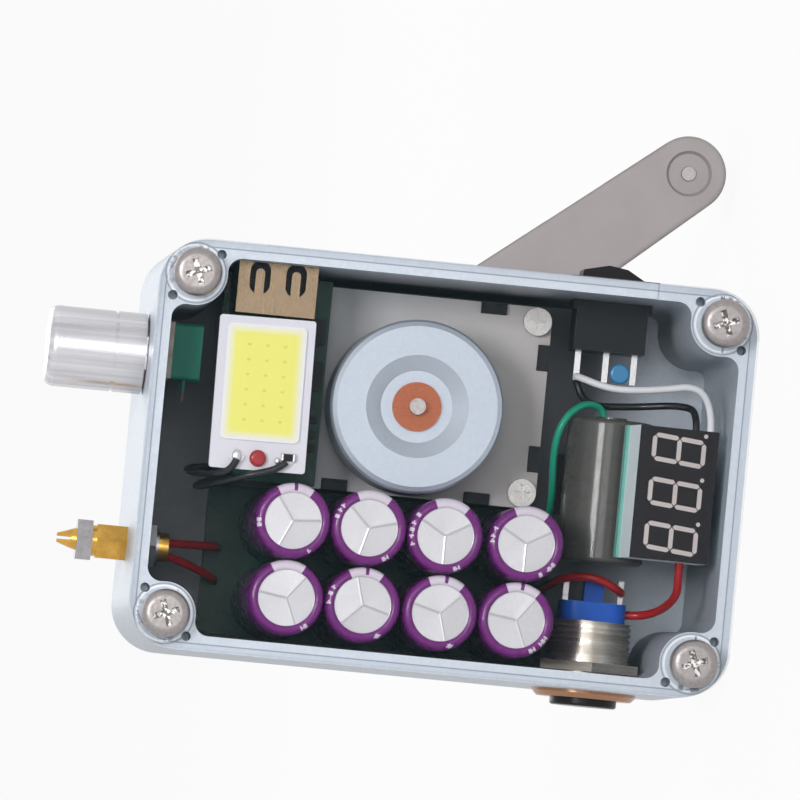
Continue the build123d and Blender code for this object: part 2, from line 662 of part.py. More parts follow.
with BuildPart() as gearbox_plate:
    with BuildSketch(face(GEARBOX_FRONT)):
        with Locations(GEARBOX_CENTRE):
            RectangleRounded(GEARBOX_LONG, GEARBOX_WIDE, PLATE_CORNER)
        notch = TAB_DEPTH + TAB_CLEARANCE
        for along, across in TAB_SPOTS_ALONG:
            inward = math.copysign(notch / 2, GEARBOX_CENTRE[1] - across)
            with Locations((along, across + inward)):
                Rectangle(TAB_WIDTH + 2 * TAB_CLEARANCE, notch, mode=Mode.SUBTRACT)
        for along, across in TAB_SPOTS_ACROSS:
            with Locations((along - notch / 2, across)):
                Rectangle(notch, TAB_WIDTH + 2 * TAB_CLEARANCE, mode=Mode.SUBTRACT)
    extrude(amount=PLATE_THICKNESS)
    with BuildSketch(face(PLATE_FRONT)):
        with Locations(*GEARBOX_SCREWS):
            Circle(RING_BOSS_RADIUS)
    extrude(amount=RING_BOSS_HEIGHT)
    with BuildSketch(face(PLATE_FRONT - RING_BOSS_HEIGHT)):
        with Locations(*GEARBOX_SCREWS):
            Circle(GEARBOX_SCREW_RADIUS + SCREW_CLEARANCE)
        with Locations(ROTOR):
            Circle(TUBE_RADIUS + ROTOR_CLEARANCE)
        with Locations(MIDDLE, LAST):
            Circle(AXLE_RADIUS)
    extrude(amount=-(PLATE_THICKNESS + RING_BOSS_HEIGHT), mode=Mode.SUBTRACT)
write(gearbox_plate.part, "gearbox_plate")

with BuildPart() as gearbox_screws:
    with BuildSketch(face(PLATE_FRONT - RING_BOSS_HEIGHT)):
        with Locations(*GEARBOX_SCREWS):
            Circle(GEARBOX_HEAD_RADIUS)
    extrude(amount=GEARBOX_HEAD_HEIGHT)
    with BuildSketch(face(PLATE_FRONT - RING_BOSS_HEIGHT - GEARBOX_HEAD_HEIGHT)):
        with Locations(*GEARBOX_SCREWS):
            Rectangle(SCREW_RECESS_WIDTH / 2, GEARBOX_HEAD_RADIUS * 1.2)
            Rectangle(GEARBOX_HEAD_RADIUS * 1.2, SCREW_RECESS_WIDTH / 2)
    extrude(amount=-GEARBOX_HEAD_HEIGHT / 2, mode=Mode.SUBTRACT)
    with BuildSketch(face(PLATE_FRONT - RING_BOSS_HEIGHT)):
        with Locations(*GEARBOX_SCREWS):
            Circle(GEARBOX_SCREW_RADIUS)
    extrude(amount=-(FLOOR_DEPTH + FLOOR / 2 - PLATE_FRONT))
write(gearbox_screws.part, "gearbox_screws")

with BuildPart() as gear_axles:
    with BuildSketch(face(PLATE_FRONT)):
        with Locations(MIDDLE, LAST):
            Circle(AXLE_RADIUS)
    extrude(amount=-(GEARBOX_BACK - PLATE_FRONT))
write(gear_axles.part, "gear_axles")

# ---- gear train ----
with BuildPart() as crank_gear:
    with BuildSketch(face(CRANK_LAYER)):
        with Locations(CRANK):
            Polygon(*gear_points(CRANK_TEETH, 0), align=None)
    extrude(amount=-GEAR_WIDTH)
    with BuildSketch(face(CRANK_LAYER + GEAR_WIDTH)):
        with Locations(CRANK):
            Circle(CRANK_SHAFT_RADIUS)
    extrude(amount=-(ARM_DEPTH - CRANK_LAYER - GEAR_WIDTH))
    with BuildSketch(face(ARM_DEPTH)):
        with Locations(CRANK):
            Rectangle(SQUARE_SIDE, SQUARE_SIDE, rotation=CRANK_ANGLE)
    extrude(amount=-ARM_THICKNESS + CRANK_GAP)
    with BuildSketch(face(ARM_BACK)):
        with Locations(CRANK):
            Circle(CRANK_SCREW_RADIUS + PIN_CLEARANCE)
    extrude(amount=CRANK_SCREW_LENGTH, mode=Mode.SUBTRACT)
write(crank_gear.part, "crank_gear")


def compound_gear(place, wheel_teeth, wheel_turn, wheel_depth, pinion_turn):
    """Wheel with a pinion on its floor side, bored for its axle."""
    pinion_depth = wheel_depth + GEAR_WIDTH
    with BuildPart() as gear:
        with BuildSketch(face(wheel_depth)):
            with Locations(place):
                Polygon(*gear_points(wheel_teeth, wheel_turn), align=None)
        extrude(amount=-GEAR_WIDTH)
        with BuildSketch(face(pinion_depth)):
            with Locations(place):
                Polygon(*gear_points(PINION_TEETH, pinion_turn), align=None)
        extrude(amount=-(GEAR_STEP + GEAR_WIDTH + PINION_REACH))
        with BuildSketch(face(wheel_depth)):
            with Locations(place):
                Circle(AXLE_RADIUS + AXLE_CLEARANCE)
        extrude(amount=-(2 * GEAR_WIDTH + GEAR_STEP + PINION_REACH), mode=Mode.SUBTRACT)
    return gear.part


write(compound_gear(MIDDLE, MIDDLE_TEETH, MIDDLE_TURN, MIDDLE_LAYER, MIDDLE_TURN), "middle_gear")
write(compound_gear(LAST, LAST_TEETH, LAST_TURN, LAST_LAYER, LAST_TURN), "last_gear")

with BuildPart() as rotor_shaft:
    with BuildSketch(face(CAN_FRONT - ROTOR_SHAFT_PROUD)):
        with Locations(ROTOR):
            Circle(ROTOR_SHAFT_RADIUS)
    extrude(amount=-(LAST_LAYER - CAN_FRONT + ROTOR_SHAFT_PROUD))
    with BuildSketch(face(LAST_LAYER - PINION_REACH)):
        with Locations(ROTOR):
            Polygon(*gear_points(PINION_TEETH, ROTOR_TURN), align=None)
    extrude(amount=-(GEAR_WIDTH + 2 * PINION_REACH))
write(rotor_shaft.part, "rotor_shaft")

# ---- generator ----


def turned(points):
    """Solid of revolution round the rotor's axis; points are (radius, depth)."""
    with BuildPart() as body:
        with BuildSketch(Plane(origin=spot(ROTOR_ALONG, ROTOR_ACROSS, 0), x_dir=(1, 0, 0), z_dir=(0, 0, 1))):
            with BuildLine():
                Polyline(*points, close=True)
            make_face()
        revolve(axis=Axis(spot(ROTOR_ALONG, ROTOR_ACROSS, 0), (0, 1, 0)))
    return body.part


DISH_DEPTH = CAN_FRONT + DISH_DROP
rotor_can = turned([
    (ROTOR_BUSH_RADIUS, DISH_DEPTH),
    (DISH_FLOOR_RADIUS, DISH_DEPTH),
    (DISH_RADIUS, CAN_FRONT),
    (CAN_RADIUS - CAN_EDGE, CAN_FRONT),
    (CAN_RADIUS - CAN_EDGE / 3, CAN_FRONT + CAN_EDGE / 3),
    (CAN_RADIUS, CAN_FRONT + CAN_EDGE),
    (CAN_RADIUS, CAN_FRONT + CAN_LENGTH),
    (CAN_RADIUS - CAN_WALL, CAN_FRONT + CAN_LENGTH),
    (CAN_RADIUS - CAN_WALL, DISH_DEPTH + CAN_WALL),
    (ROTOR_BUSH_RADIUS, DISH_DEPTH + CAN_WALL),
])
write(rotor_can, "rotor_can")

with BuildPart() as rotor_bush:
    with BuildSketch(face(DISH_DEPTH - (ROTOR_BUSH_LENGTH - CAN_WALL) / 2)):
        with Locations(ROTOR):
            Circle(ROTOR_BUSH_RADIUS)
            Circle(ROTOR_SHAFT_RADIUS, mode=Mode.SUBTRACT)
    extrude(amount=-ROTOR_BUSH_LENGTH)
write(rotor_bush.part, "rotor_bush")

MAGNET_OUTER = CAN_RADIUS - CAN_WALL
MAGNET_INNER = MAGNET_OUTER - MAGNET_THICKNESS
MAGNET_FRONT = CAN_FRONT + CAN_LENGTH - MAGNET_LENGTH
with BuildPart() as magnet_ring:
    with BuildSketch(face(MAGNET_FRONT)):
        with Locations(ROTOR):
            Circle(MAGNET_OUTER)
            Circle(MAGNET_INNER, mode=Mode.SUBTRACT)
    extrude(amount=-MAGNET_LENGTH)
write(magnet_ring.part, "magnet_ring")

STATOR_RADIUS = MAGNET_INNER - AIR_GAP
STATOR_FRONT = MAGNET_FRONT + (MAGNET_LENGTH - STATOR_STACK) / 2
TOOTH_LENGTH = STATOR_RADIUS - STATOR_SHOE - STATOR_HUB_RADIUS
TOOTH_MIDDLE = STATOR_HUB_RADIUS + TOOTH_LENGTH / 2
with BuildPart() as stator_core:
    with BuildSketch(face(STATOR_FRONT)):
        with Locations(ROTOR):
            Circle(STATOR_RADIUS)
            Circle(STATOR_RADIUS - STATOR_SHOE, mode=Mode.SUBTRACT)
            with PolarLocations(STATOR_RADIUS, STATOR_TEETH, start_angle=180 / STATOR_TEETH):
                Rectangle(3 * STATOR_SHOE, STATOR_SHOE, mode=Mode.SUBTRACT)
            with PolarLocations(TOOTH_MIDDLE, STATOR_TEETH):
                Rectangle(TOOTH_LENGTH + STATOR_SHOE, STATOR_TOOTH_WIDTH)
            Circle(STATOR_HUB_RADIUS)
            Circle(TUBE_RADIUS, mode=Mode.SUBTRACT)
    extrude(amount=-STATOR_STACK)
write(stator_core.part, "stator_core")

with BuildPart() as stator_coils:
    coil_length = TOOTH_LENGTH - 2 * COIL_BUILD
    with BuildSketch(face(STATOR_FRONT - COIL_BUILD)):
        with Locations(ROTOR):
            with PolarLocations(TOOTH_MIDDLE + COIL_BUILD / 2, STATOR_TEETH):
                RectangleRounded(coil_length, STATOR_TOOTH_WIDTH + 2 * COIL_BUILD, COIL_BUILD / 2)
    extrude(amount=-(STATOR_STACK + 2 * COIL_BUILD))
    with BuildSketch(face(STATOR_FRONT)):
        with Locations(ROTOR):
            with PolarLocations(TOOTH_MIDDLE, STATOR_TEETH):
                Rectangle(TOOTH_LENGTH + STATOR_SHOE, STATOR_TOOTH_WIDTH)
    extrude(amount=-STATOR_STACK, mode=Mode.SUBTRACT)
write(stator_coils.part, "stator_coils")

with BuildPart() as stator_mount:
    with BuildSketch(face(STATOR_FRONT - COIL_BUILD)):
        with Locations(ROTOR):
            Circle(TUBE_RADIUS)
    extrude(amount=-(GEARBOX_FRONT - STATOR_FRONT + COIL_BUILD))
    with BuildSketch(face(PLATE_FRONT)):
        with Locations(ROTOR):
            Circle(MOUNT_FLANGE_RADIUS)
    extrude(amount=MOUNT_FLANGE)
    with BuildSketch(face(STATOR_FRONT + STATOR_STACK)):
        with Locations(ROTOR):
            Circle(STATOR_HUB_RADIUS)
    extrude(amount=-(PLATE_FRONT - MOUNT_FLANGE - STATOR_FRONT - STATOR_STACK))
    with BuildSketch(face(STATOR_FRONT - COIL_BUILD)):
        with Locations(ROTOR):
            Circle(ROTOR_SHAFT_RADIUS + ROTOR_CLEARANCE)
    extrude(amount=-(GEARBOX_FRONT - STATOR_FRONT + COIL_BUILD), mode=Mode.SUBTRACT)
write(stator_mount.part, "stator_mount")

# ---- crank behind the box ----
with BuildPart() as crank_bush:
    with BuildSketch(face(GEARBOX_BACK)):
        with Locations(CRANK):
            Circle(CRANK_BUSH_RADIUS)
    extrude(amount=-(BODY_DEPTH - GEARBOX_BACK))
    with BuildSketch(face(BODY_DEPTH)):
        with Locations(CRANK):
            Circle(CRANK_FLANGE_RADIUS)
    extrude(amount=-CRANK_FLANGE)
    with BuildSketch(face(GEARBOX_BACK)):
        with Locations(CRANK):
            Circle(CRANK_SHAFT_RADIUS + BUSH_CLEARANCE)
    extrude(amount=-(BODY_DEPTH + CRANK_FLANGE - GEARBOX_BACK), mode=Mode.SUBTRACT)
write(crank_bush.part, "crank_bush")

with BuildPart() as crank_arm:
    with BuildSketch(face(ARM_DEPTH)) as arm_outline:
        with Locations(CRANK):
            Circle(ARM_HUB_RADIUS)
        with Locations(TIP):
            Circle(ARM_TIP_RADIUS)
        make_hull()
    extrude(amount=-ARM_THICKNESS)
    fillet(crank_arm.faces().sort_by(Axis.Y)[0].edges(), ARM_EDGE)
    # hollow back with a rib and two bosses
    with BuildSketch(face(ARM_BACK)):
        offset(arm_outline.sketch, amount=-ARM_RIM)
        with Locations(CRANK):
            Circle(HUB_BOSS_RADIUS, mode=Mode.SUBTRACT)
        with Locations(TIP):
            Circle(TIP_BOSS_RADIUS, mode=Mode.SUBTRACT)
        with Locations(((CRANK[0] + TIP[0]) / 2, (CRANK[1] + TIP[1]) / 2)):
            Rectangle(CRANK_LENGTH, ARM_RIB, rotation=CRANK_ANGLE, mode=Mode.SUBTRACT)
    extrude(amount=ARM_POCKET, mode=Mode.SUBTRACT)
    with BuildSketch(face(ARM_DEPTH)):
        with Locations(CRANK):
            side = SQUARE_SIDE + 2 * SQUARE_CLEARANCE
            Rectangle(side, side, rotation=CRANK_ANGLE)
        with Locations(TIP):
            Circle(HANDLE_PIN_RADIUS + PIN_CLEARANCE)
    extrude(amount=-ARM_THICKNESS, mode=Mode.SUBTRACT)
    with BuildSketch(face(ARM_DEPTH)):
        with Locations(TIP):
            Circle(DIMPLE_RADIUS)
    extrude(amount=-DIMPLE_DEPTH, taper=30, mode=Mode.SUBTRACT)
write(crank_arm.part, "crank_arm")

with BuildPart() as crank_screw:
    with BuildSketch(face(ARM_BACK)):
        with Locations(CRANK):
            Circle(CRANK_HEAD_RADIUS)
    extrude(amount=-CRANK_HEAD_HEIGHT)
    fillet(crank_screw.faces().sort_by(Axis.Y)[-1].edges(), CRANK_HEAD_HEIGHT / 2)
    with BuildSketch(face(ARM_BACK + CRANK_HEAD_HEIGHT)):
        with Locations(CRANK):
            Rectangle(SCREW_RECESS_WIDTH, SCREW_RECESS_SPAN * 0.7)
            Rectangle(SCREW_RECESS_SPAN * 0.7, SCREW_RECESS_WIDTH)
    extrude(amount=CRANK_HEAD_HEIGHT / 2, mode=Mode.SUBTRACT)
    with BuildSketch(face(ARM_BACK)):
        with Locations(CRANK):
            Circle(CRANK_SCREW_RADIUS)
    extrude(amount=CRANK_SCREW_LENGTH - PIN_CLEARANCE)
write(crank_screw.part, "crank_screw")

with BuildPart() as handle_pin:
    with BuildSketch(face(ARM_DEPTH + DIMPLE_DEPTH / 2)):
        with Locations(TIP):
            Circle(HANDLE_PIN_RADIUS)
    extrude(amount=-(HANDLE_END - HANDLE_RECESS - ARM_DEPTH - DIMPLE_DEPTH / 2))
    with BuildSketch(face(HANDLE_END - HANDLE_RECESS)):
        with Locations(TIP):
            Circle(HANDLE_HEAD_RADIUS)
    extrude(amount=-HANDLE_HEAD_HEIGHT)
    chamfer(handle_pin.faces().sort_by(Axis.Y)[-1].edges(), HANDLE_HEAD_HEIGHT / 3)
write(handle_pin.part, "handle_pin")

with BuildPart() as handle_knob:
    bore = HANDLE_PIN_RADIUS + PIN_CLEARANCE
    recess = HANDLE_HEAD_RADIUS + HANDLE_GAP
    with BuildSketch(Plane(origin=spot(TIP[0], TIP[1], HANDLE_DEPTH), x_dir=(1, 0, 0), z_dir=(0, 0, 1))):
        with BuildLine():
            Line((bore, 0), (HANDLE_RADIUS, 0))
            ThreePointArc((HANDLE_RADIUS, 0), (HANDLE_NECK_RADIUS, HANDLE_LENGTH * 0.3),
                          (HANDLE_END_RADIUS, HANDLE_LENGTH * 0.85))
            ThreePointArc((HANDLE_END_RADIUS, HANDLE_LENGTH * 0.85),
                          (HANDLE_END_RADIUS - 0.5, HANDLE_LENGTH * 0.96),
                          (HANDLE_END_RADIUS - 1.5, HANDLE_LENGTH))
            Polyline((HANDLE_END_RADIUS - 1.5, HANDLE_LENGTH), (recess, HANDLE_LENGTH),
                     (recess, HANDLE_LENGTH - HANDLE_RECESS), (bore, HANDLE_LENGTH - HANDLE_RECESS),
                     (bore, 0))
        make_face()
    revolve(axis=Axis(spot(TIP[0], TIP[1], HANDLE_DEPTH), (0, 1, 0)))
write(handle_knob.part, "handle_knob")

# ---- control and its knob on the upper end wall ----
POT_TOP = BOX_LENGTH - POT_WALL
with BuildPart() as pot_bracket:
    with BuildSketch(Plane.XY.offset(POT_TOP - POT_BRACKET)):
        with Locations((POT_ACROSS + POT_OFFSET, POT_Y)):
            Rectangle(POT_SIZE, POT_SIZE)
    extrude(amount=POT_BRACKET)
    with BuildSketch(Plane.XY.offset(POT_TOP)):
        with Locations((POT_ACROSS, POT_Y)):
            Circle(POT_BUSH_RADIUS)
    extrude(amount=POT_WALL + POT_BUSH_PROUD)
    with BuildSketch(Plane.XY.offset(POT_TOP - POT_BRACKET)):
        with Locations((POT_ACROSS, POT_Y)):
            Circle(POT_SHAFT_RADIUS + BUSH_CLEARANCE)
    extrude(amount=POT_BRACKET + POT_WALL + POT_BUSH_PROUD, mode=Mode.SUBTRACT)
write(pot_bracket.part, "pot_bracket")

POT_BODY_TOP = POT_TOP - POT_BRACKET
with BuildPart() as pot_body:
    with BuildSketch(Plane.XY.offset(POT_BODY_TOP)):
        with Locations((POT_ACROSS + POT_OFFSET, POT_Y)):
            RectangleRounded(POT_SIZE, POT_SIZE, 0.6)
    extrude(amount=-POT_LENGTH)
    with BuildSketch(Plane.YZ.offset(POT_ACROSS + POT_OFFSET - POT_SIZE / 2)):
        with Locations((POT_Y, POT_BODY_TOP - POT_LENGTH / 2)):
            with GridLocations(POT_PIN_PITCH, POT_PIN_WIDTH, 3, 1):
                Rectangle(POT_PIN_WIDTH, POT_PIN_WIDTH / 2)
    extrude(amount=-POT_PIN_LENGTH)
write(pot_body.part, "pot_body")

with BuildPart() as pot_nut:
    with BuildSketch(Plane.XY.offset(BOX_LENGTH)):
        with Locations((POT_ACROSS, POT_Y)):
            RegularPolygon(POT_NUT_FLATS / 2, 6, major_radius=False)
            Circle(POT_BUSH_RADIUS, mode=Mode.SUBTRACT)
    extrude(amount=POT_NUT_THICKNESS)
write(pot_nut.part, "pot_nut")

with BuildPart() as pot_shaft:
    with BuildSketch(Plane.XY.offset(POT_BODY_TOP)):
        with Locations((POT_ACROSS, POT_Y)):
            Circle(POT_SHAFT_RADIUS)
    extrude(amount=BOX_LENGTH - POT_BODY_TOP + POT_SHAFT_PROUD)
write(pot_shaft.part, "pot_shaft")

with BuildPart() as control_knob:
    with BuildSketch(Plane.XY.offset(BOX_LENGTH + KNOB_GAP)):
        with Locations((POT_ACROSS, POT_Y)):
            Circle(KNOB_RADIUS)
    extrude(amount=KNOB_LENGTH)
    fillet(control_knob.faces().sort_by(Axis.Z)[-1].edges(), KNOB_EDGE)
    with BuildSketch(Plane.XY.offset(BOX_LENGTH + KNOB_GAP + KNOB_GROOVE_AT)):
        with Locations((POT_ACROSS, POT_Y)):
            Circle(KNOB_RADIUS + KNOB_GROOVE)
            Circle(KNOB_RADIUS - KNOB_GROOVE, mode=Mode.SUBTRACT)
    extrude(amount=2 * KNOB_GROOVE, mode=Mode.SUBTRACT)
    with BuildSketch(Plane.XY.offset(BOX_LENGTH + KNOB_GAP)):
        with Locations((POT_ACROSS, POT_Y)):
            Circle(KNOB_RECESS_RADIUS)
    extrude(amount=KNOB_RECESS_DEPTH, mode=Mode.SUBTRACT)
    with BuildSketch(Plane.XY.offset(BOX_LENGTH + KNOB_GAP)):
        with Locations((POT_ACROSS, POT_Y)):
            Circle(POT_SHAFT_RADIUS + KNOB_BORE_CLEARANCE)
    extrude(amount=POT_SHAFT_PROUD + KNOB_GAP, mode=Mode.SUBTRACT)
write(control_knob.part, "control_knob")

# ---- brass terminal on the upper end wall ----
POST = (POST_ACROSS, POST_Y)
POST_INSIDE = BOX_LENGTH - POST_WALL
POST_COLLAR_Z = BOX_LENGTH + POST_HEX_LENGTH
POST_NUT_Z = POST_COLLAR_Z + POST_COLLAR
POST_TIP_Z = POST_NUT_Z + POST_NUT_THICKNESS
with BuildPart() as post_body:
    with BuildSketch(Plane.XY.offset(BOX_LENGTH)):
        with Locations(POST):
            RegularPolygon(POST_HEX_FLATS / 2, 6, major_radius=False, rotation=30)
    extrude(amount=POST_HEX_LENGTH)
    with BuildSketch(Plane.XY.offset(POST_INSIDE - POST_SHANK_INSIDE)):
        with Locations(POST):
            Circle(POST_SHANK_RADIUS)
    extrude(amount=POST_WALL + POST_SHANK_INSIDE)
    with BuildSketch(Plane.XY.offset(POST_COLLAR_Z)):
        with Locations(POST):
            Circle(POST_STUD_RADIUS)
    extrude(amount=POST_COLLAR + POST_NUT_THICKNESS)
    with BuildSketch(Plane.XY.offset(POST_TIP_Z)):
        with Locations(POST):
            Circle(POST_STUD_RADIUS)
    with BuildSketch(Plane.XY.offset(POST_TIP_Z + POST_TIP_LENGTH)):
        with Locations(POST):
            Circle(POST_TIP_RADIUS)
    loft()
    with BuildSketch(Plane.XY.offset(POST_TIP_Z + POST_TIP_LENGTH)):
        with Locations(POST):
            Rectangle(2 * POST_STUD_RADIUS, POST_SLOT)
            Rectangle(POST_SLOT, 2 * POST_STUD_RADIUS)
    extrude(amount=-POST_TIP_LENGTH * 0.7, mode=Mode.SUBTRACT)
write(post_body.part, "post_body")


def ring_nut(flats, bore, start, thickness):
    """Hexagon nut round the terminal, with its flats towards +X and -X."""
    with BuildPart() as nut:
        with BuildSketch(Plane.XY.offset(start)):
            with Locations(POST):
                RegularPolygon(flats / 2, 6, major_radius=False, rotation=30)
                Circle(bore, mode=Mode.SUBTRACT)
        extrude(amount=thickness)
    return nut.part


write(ring_nut(POST_NUT_FLATS, POST_STUD_RADIUS, POST_NUT_Z, POST_NUT_THICKNESS), "post_nut")
write(ring_nut(INNER_NUT_FLATS, POST_SHANK_RADIUS, POST_INSIDE - INNER_NUT_THICKNESS,
               INNER_NUT_THICKNESS), "post_inner_nut")

with BuildPart() as post_collar:
    with BuildSketch(Plane.XY.offset(POST_COLLAR_Z)):
        with Locations(POST):
            Circle(POST_COLLAR_RADIUS)
            Circle(POST_STUD_RADIUS, mode=Mode.SUBTRACT)
    extrude(amount=POST_COLLAR)
write(post_collar.part, "post_collar")

TAG_Z = POST_INSIDE - INNER_NUT_THICKNESS - TAG_THICKNESS
with BuildPart() as post_tag:
    with BuildSketch(Plane.XY.offset(TAG_Z)):
        with Locations(POST):
            Circle(TAG_WIDTH / 2)
        with Locations((POST_ACROSS, POST_Y + TAG_LENGTH / 2)):
            Rectangle(TAG_WIDTH / 2, TAG_LENGTH)
        with Locations(POST):
            Circle(POST_SHANK_RADIUS, mode=Mode.SUBTRACT)
    extrude(amount=TAG_THICKNESS)
write(post_tag.part, "post_tag")

# ---- USB sockets in the +X wall ----
USB_Z = HALF_LENGTH - USB_ALONG
USB_Y = RIM_Y + USB_MIDDLE
USB_FRONT_WALL = (USB_HEIGHT - USB_PORT_PITCH - USB_PORT_HEIGHT) / 2
PORT_YS = [USB_Y - USB_PORT_PITCH / 2, USB_Y + USB_PORT_PITCH / 2]
with BuildPart() as usb_shell:
    with BuildSketch(Plane.YZ.offset(HALF_WIDTH)):
        with Locations((USB_Y, USB_Z)):
            Rectangle(USB_HEIGHT, USB_WIDTH)
    extrude(amount=-USB_LENGTH)
    with BuildSketch(Plane.YZ.offset(HALF_WIDTH)):
        with Locations(*[(y, USB_Z) for y in PORT_YS]):
            Rectangle(USB_PORT_HEIGHT, USB_PORT_WIDTH)
    extrude(amount=-(USB_LENGTH - USB_BACK_WALL), mode=Mode.SUBTRACT)
    # spring windows with their tongues in the face towards the open front
    with BuildSketch(face(USB_DEPTH)):
        with Locations((USB_ALONG, USB_INNER + USB_WINDOW_BACK)):
            with GridLocations(USB_WINDOW_PITCH, 1, 2, 1):
                SlotOverall(USB_WINDOW_LENGTH, USB_WINDOW_WIDTH, rotation=90)
        with Locations((USB_ALONG, USB_INNER + USB_WINDOW_BACK - USB_SPRING_SHIFT)):
            with GridLocations(USB_WINDOW_PITCH, 1, 2, 1):
                SlotOverall(USB_WINDOW_LENGTH, USB_SPRING_WIDTH, rotation=90, mode=Mode.SUBTRACT)
    extrude(amount=-USB_FRONT_WALL, mode=Mode.SUBTRACT)
write(usb_shell.part, "usb_shell")

with BuildPart() as usb_tongues:
    with BuildSketch(Plane.YZ.offset(USB_INNER + USB_BACK_WALL)):
        with Locations(*[(y + (USB_PORT_HEIGHT - USB_TONGUE_THICKNESS) / 4, USB_Z) for y in PORT_YS]):
            Rectangle(USB_TONGUE_THICKNESS, USB_TONGUE_WIDTH)
    extrude(amount=USB_LENGTH - USB_BACK_WALL - USB_TONGUE_SETBACK)
write(usb_tongues.part, "usb_tongues")

# ---- charger board under the lamp ----
CHARGER_TOP = HALF_WIDTH - wall_at(USB_BACK + BOARD_THICKNESS) - CHARGER_TOP_GAP
CHARGER_BOTTOM = CAP_ROW + CAP_ROW_PITCH + SLEEVE_RADIUS + CHARGER_CAP_GAP
CHARGER_RIGHT = ROTOR_ALONG - CAN_RADIUS - CHARGER_CAN_GAP
CHARGER_CENTRE = ((CHARGER_LEFT + CHARGER_RIGHT) / 2, (CHARGER_BOTTOM + CHARGER_TOP) / 2)
with BuildPart() as charger_board:
    with BuildSketch(face(USB_BACK)):
        with Locations(CHARGER_CENTRE):
            Rectangle(CHARGER_RIGHT - CHARGER_LEFT, CHARGER_TOP - CHARGER_BOTTOM)
    extrude(amount=-BOARD_THICKNESS)
write(charger_board.part, "charger_board")

with BuildPart() as charger_parts:
    with BuildSketch(face(USB_BACK)):
        with Locations((CHARGER_RIGHT - INDUCTOR_SIZE / 2 - CHIP_EDGE, CHARGER_CENTRE[1] + INDUCTOR_OFFSET)):
            RectangleRounded(INDUCTOR_SIZE, INDUCTOR_SIZE, 0.8)
    extrude(amount=INDUCTOR_HEIGHT)
    with BuildSketch(face(USB_BACK)):
        with Locations((CHARGER_RIGHT - CHIP_LONG / 2 - CHIP_EDGE, CHARGER_CENTRE[1] + CHIP_OFFSET)):
            Rectangle(CHIP_LONG, CHIP_WIDE)
        with Locations((CHARGER_RIGHT - CHIP_LONG / 2 - CHIP_EDGE, CHARGER_CENTRE[1] - CHIP_OFFSET)):
            with GridLocations(CHIP_LONG, CHIP_LONG, 1, CHIP_ROW):
                Rectangle(CHIP_LONG, CHIP_LONG / 2)
    extrude(amount=CHIP_HEIGHT)
write(charger_parts.part, "charger_parts")

# ---- lamp board, its light area, solder pads and indicator ----


def lamp_plane(depth):
    """Plane of the lamp board at a depth, turned a little as it is glued in."""
    turn = math.radians(COB_TURN)
    return Plane(origin=spot(COB_ALONG, COB_ACROSS, depth), x_dir=(math.sin(turn), 0, -math.cos(turn)),
                 z_dir=(0, -1, 0))


with BuildPart() as cob_board:
    with BuildSketch(lamp_plane(COB_DEPTH)):
        RectangleRounded(COB_LONG, COB_WIDE, 0.5)
    extrude(amount=-COB_THICKNESS)
    with BuildSketch(lamp_plane(COB_DEPTH)):
        with Locations(*[(along, COB_PAD_ACROSS) for along in COB_PADS_ALONG]):
            Ellipse(PAD_LONG / 2, PAD_WIDE / 2)
    extrude(amount=PAD_HEIGHT)
write(cob_board.part, "cob_board")

with BuildPart() as cob_lamp:
    with BuildSketch(lamp_plane(COB_DEPTH)):
        with Locations((0, PHOSPHOR_OFFSET)):
            RectangleRounded(PHOSPHOR_LONG, PHOSPHOR_WIDE, 1.0)
    extrude(amount=PHOSPHOR_HEIGHT)
write(cob_lamp.part, "cob_lamp")

with BuildPart() as indicator_led:
    with BuildSketch(lamp_plane(COB_DEPTH)):
        with Locations((0, COB_PAD_ACROSS)):
            Circle(INDICATOR_RADIUS)
    extrude(amount=INDICATOR_HEIGHT)
    fillet(indicator_led.faces().sort_by(Axis.Y)[0].edges(), INDICATOR_HEIGHT / 2)
write(indicator_led.part, "indicator_led")

COB_BACK = COB_DEPTH + COB_THICKNESS
LAMP_POSTS = [(-COB_POST_ALONG, 0), (COB_POST_ALONG, 0), (0, -COB_POST_ACROSS)]
with BuildPart() as lamp_posts:
    with BuildSketch(lamp_plane(COB_BACK)):
        with Locations(*LAMP_POSTS):
            Circle(COB_POST_RADIUS)
    extrude(amount=-(USB_BACK - COB_BACK))
write(lamp_posts.part, "lamp_posts")

# ---- capacitor bank ----
with BuildPart() as capacitor_cans:
    with BuildSketch(face(CAP_DEPTH + CAP_FACE_DROP)):
        with Locations(*CAP_SPOTS):
            Circle(CAP_RADIUS)
    extrude(amount=-(CAP_LENGTH - CAP_FACE_DROP))
    with BuildSketch(face(CAP_DEPTH + CAP_FACE_DROP)):
        with Locations(*CAP_SPOTS):
            with PolarLocations(VENT_LENGTH / 2, 3, start_angle=90):
                Rectangle(VENT_LENGTH, VENT_WIDTH)
    extrude(amount=-VENT_DEPTH, mode=Mode.SUBTRACT)
write(capacitor_cans.part, "capacitor_cans")

with BuildPart() as capacitor_sleeves:
    with BuildSketch(face(CAP_DEPTH)):
        with Locations(*CAP_SPOTS):
            Circle(SLEEVE_RADIUS)
    extrude(amount=-CAP_LENGTH)
    chamfer(capacitor_sleeves.faces().filter_by(Axis.Y).group_by(Axis.Y)[0].edges(), CAP_SLEEVE_EDGE)
    with BuildSketch(face(CAP_DEPTH)):
        with Locations(*CAP_SPOTS):
            Circle(CAP_FACE_RADIUS)
    extrude(amount=-CAP_FACE_DROP, mode=Mode.SUBTRACT)
    with BuildSketch(face(CAP_DEPTH + CAP_FACE_DROP)):
        with Locations(*CAP_SPOTS):
            Circle(CAP_RADIUS)
    extrude(amount=-(CAP_LENGTH - CAP_FACE_DROP), mode=Mode.SUBTRACT)
write(capacitor_sleeves.part, "capacitor_sleeves")

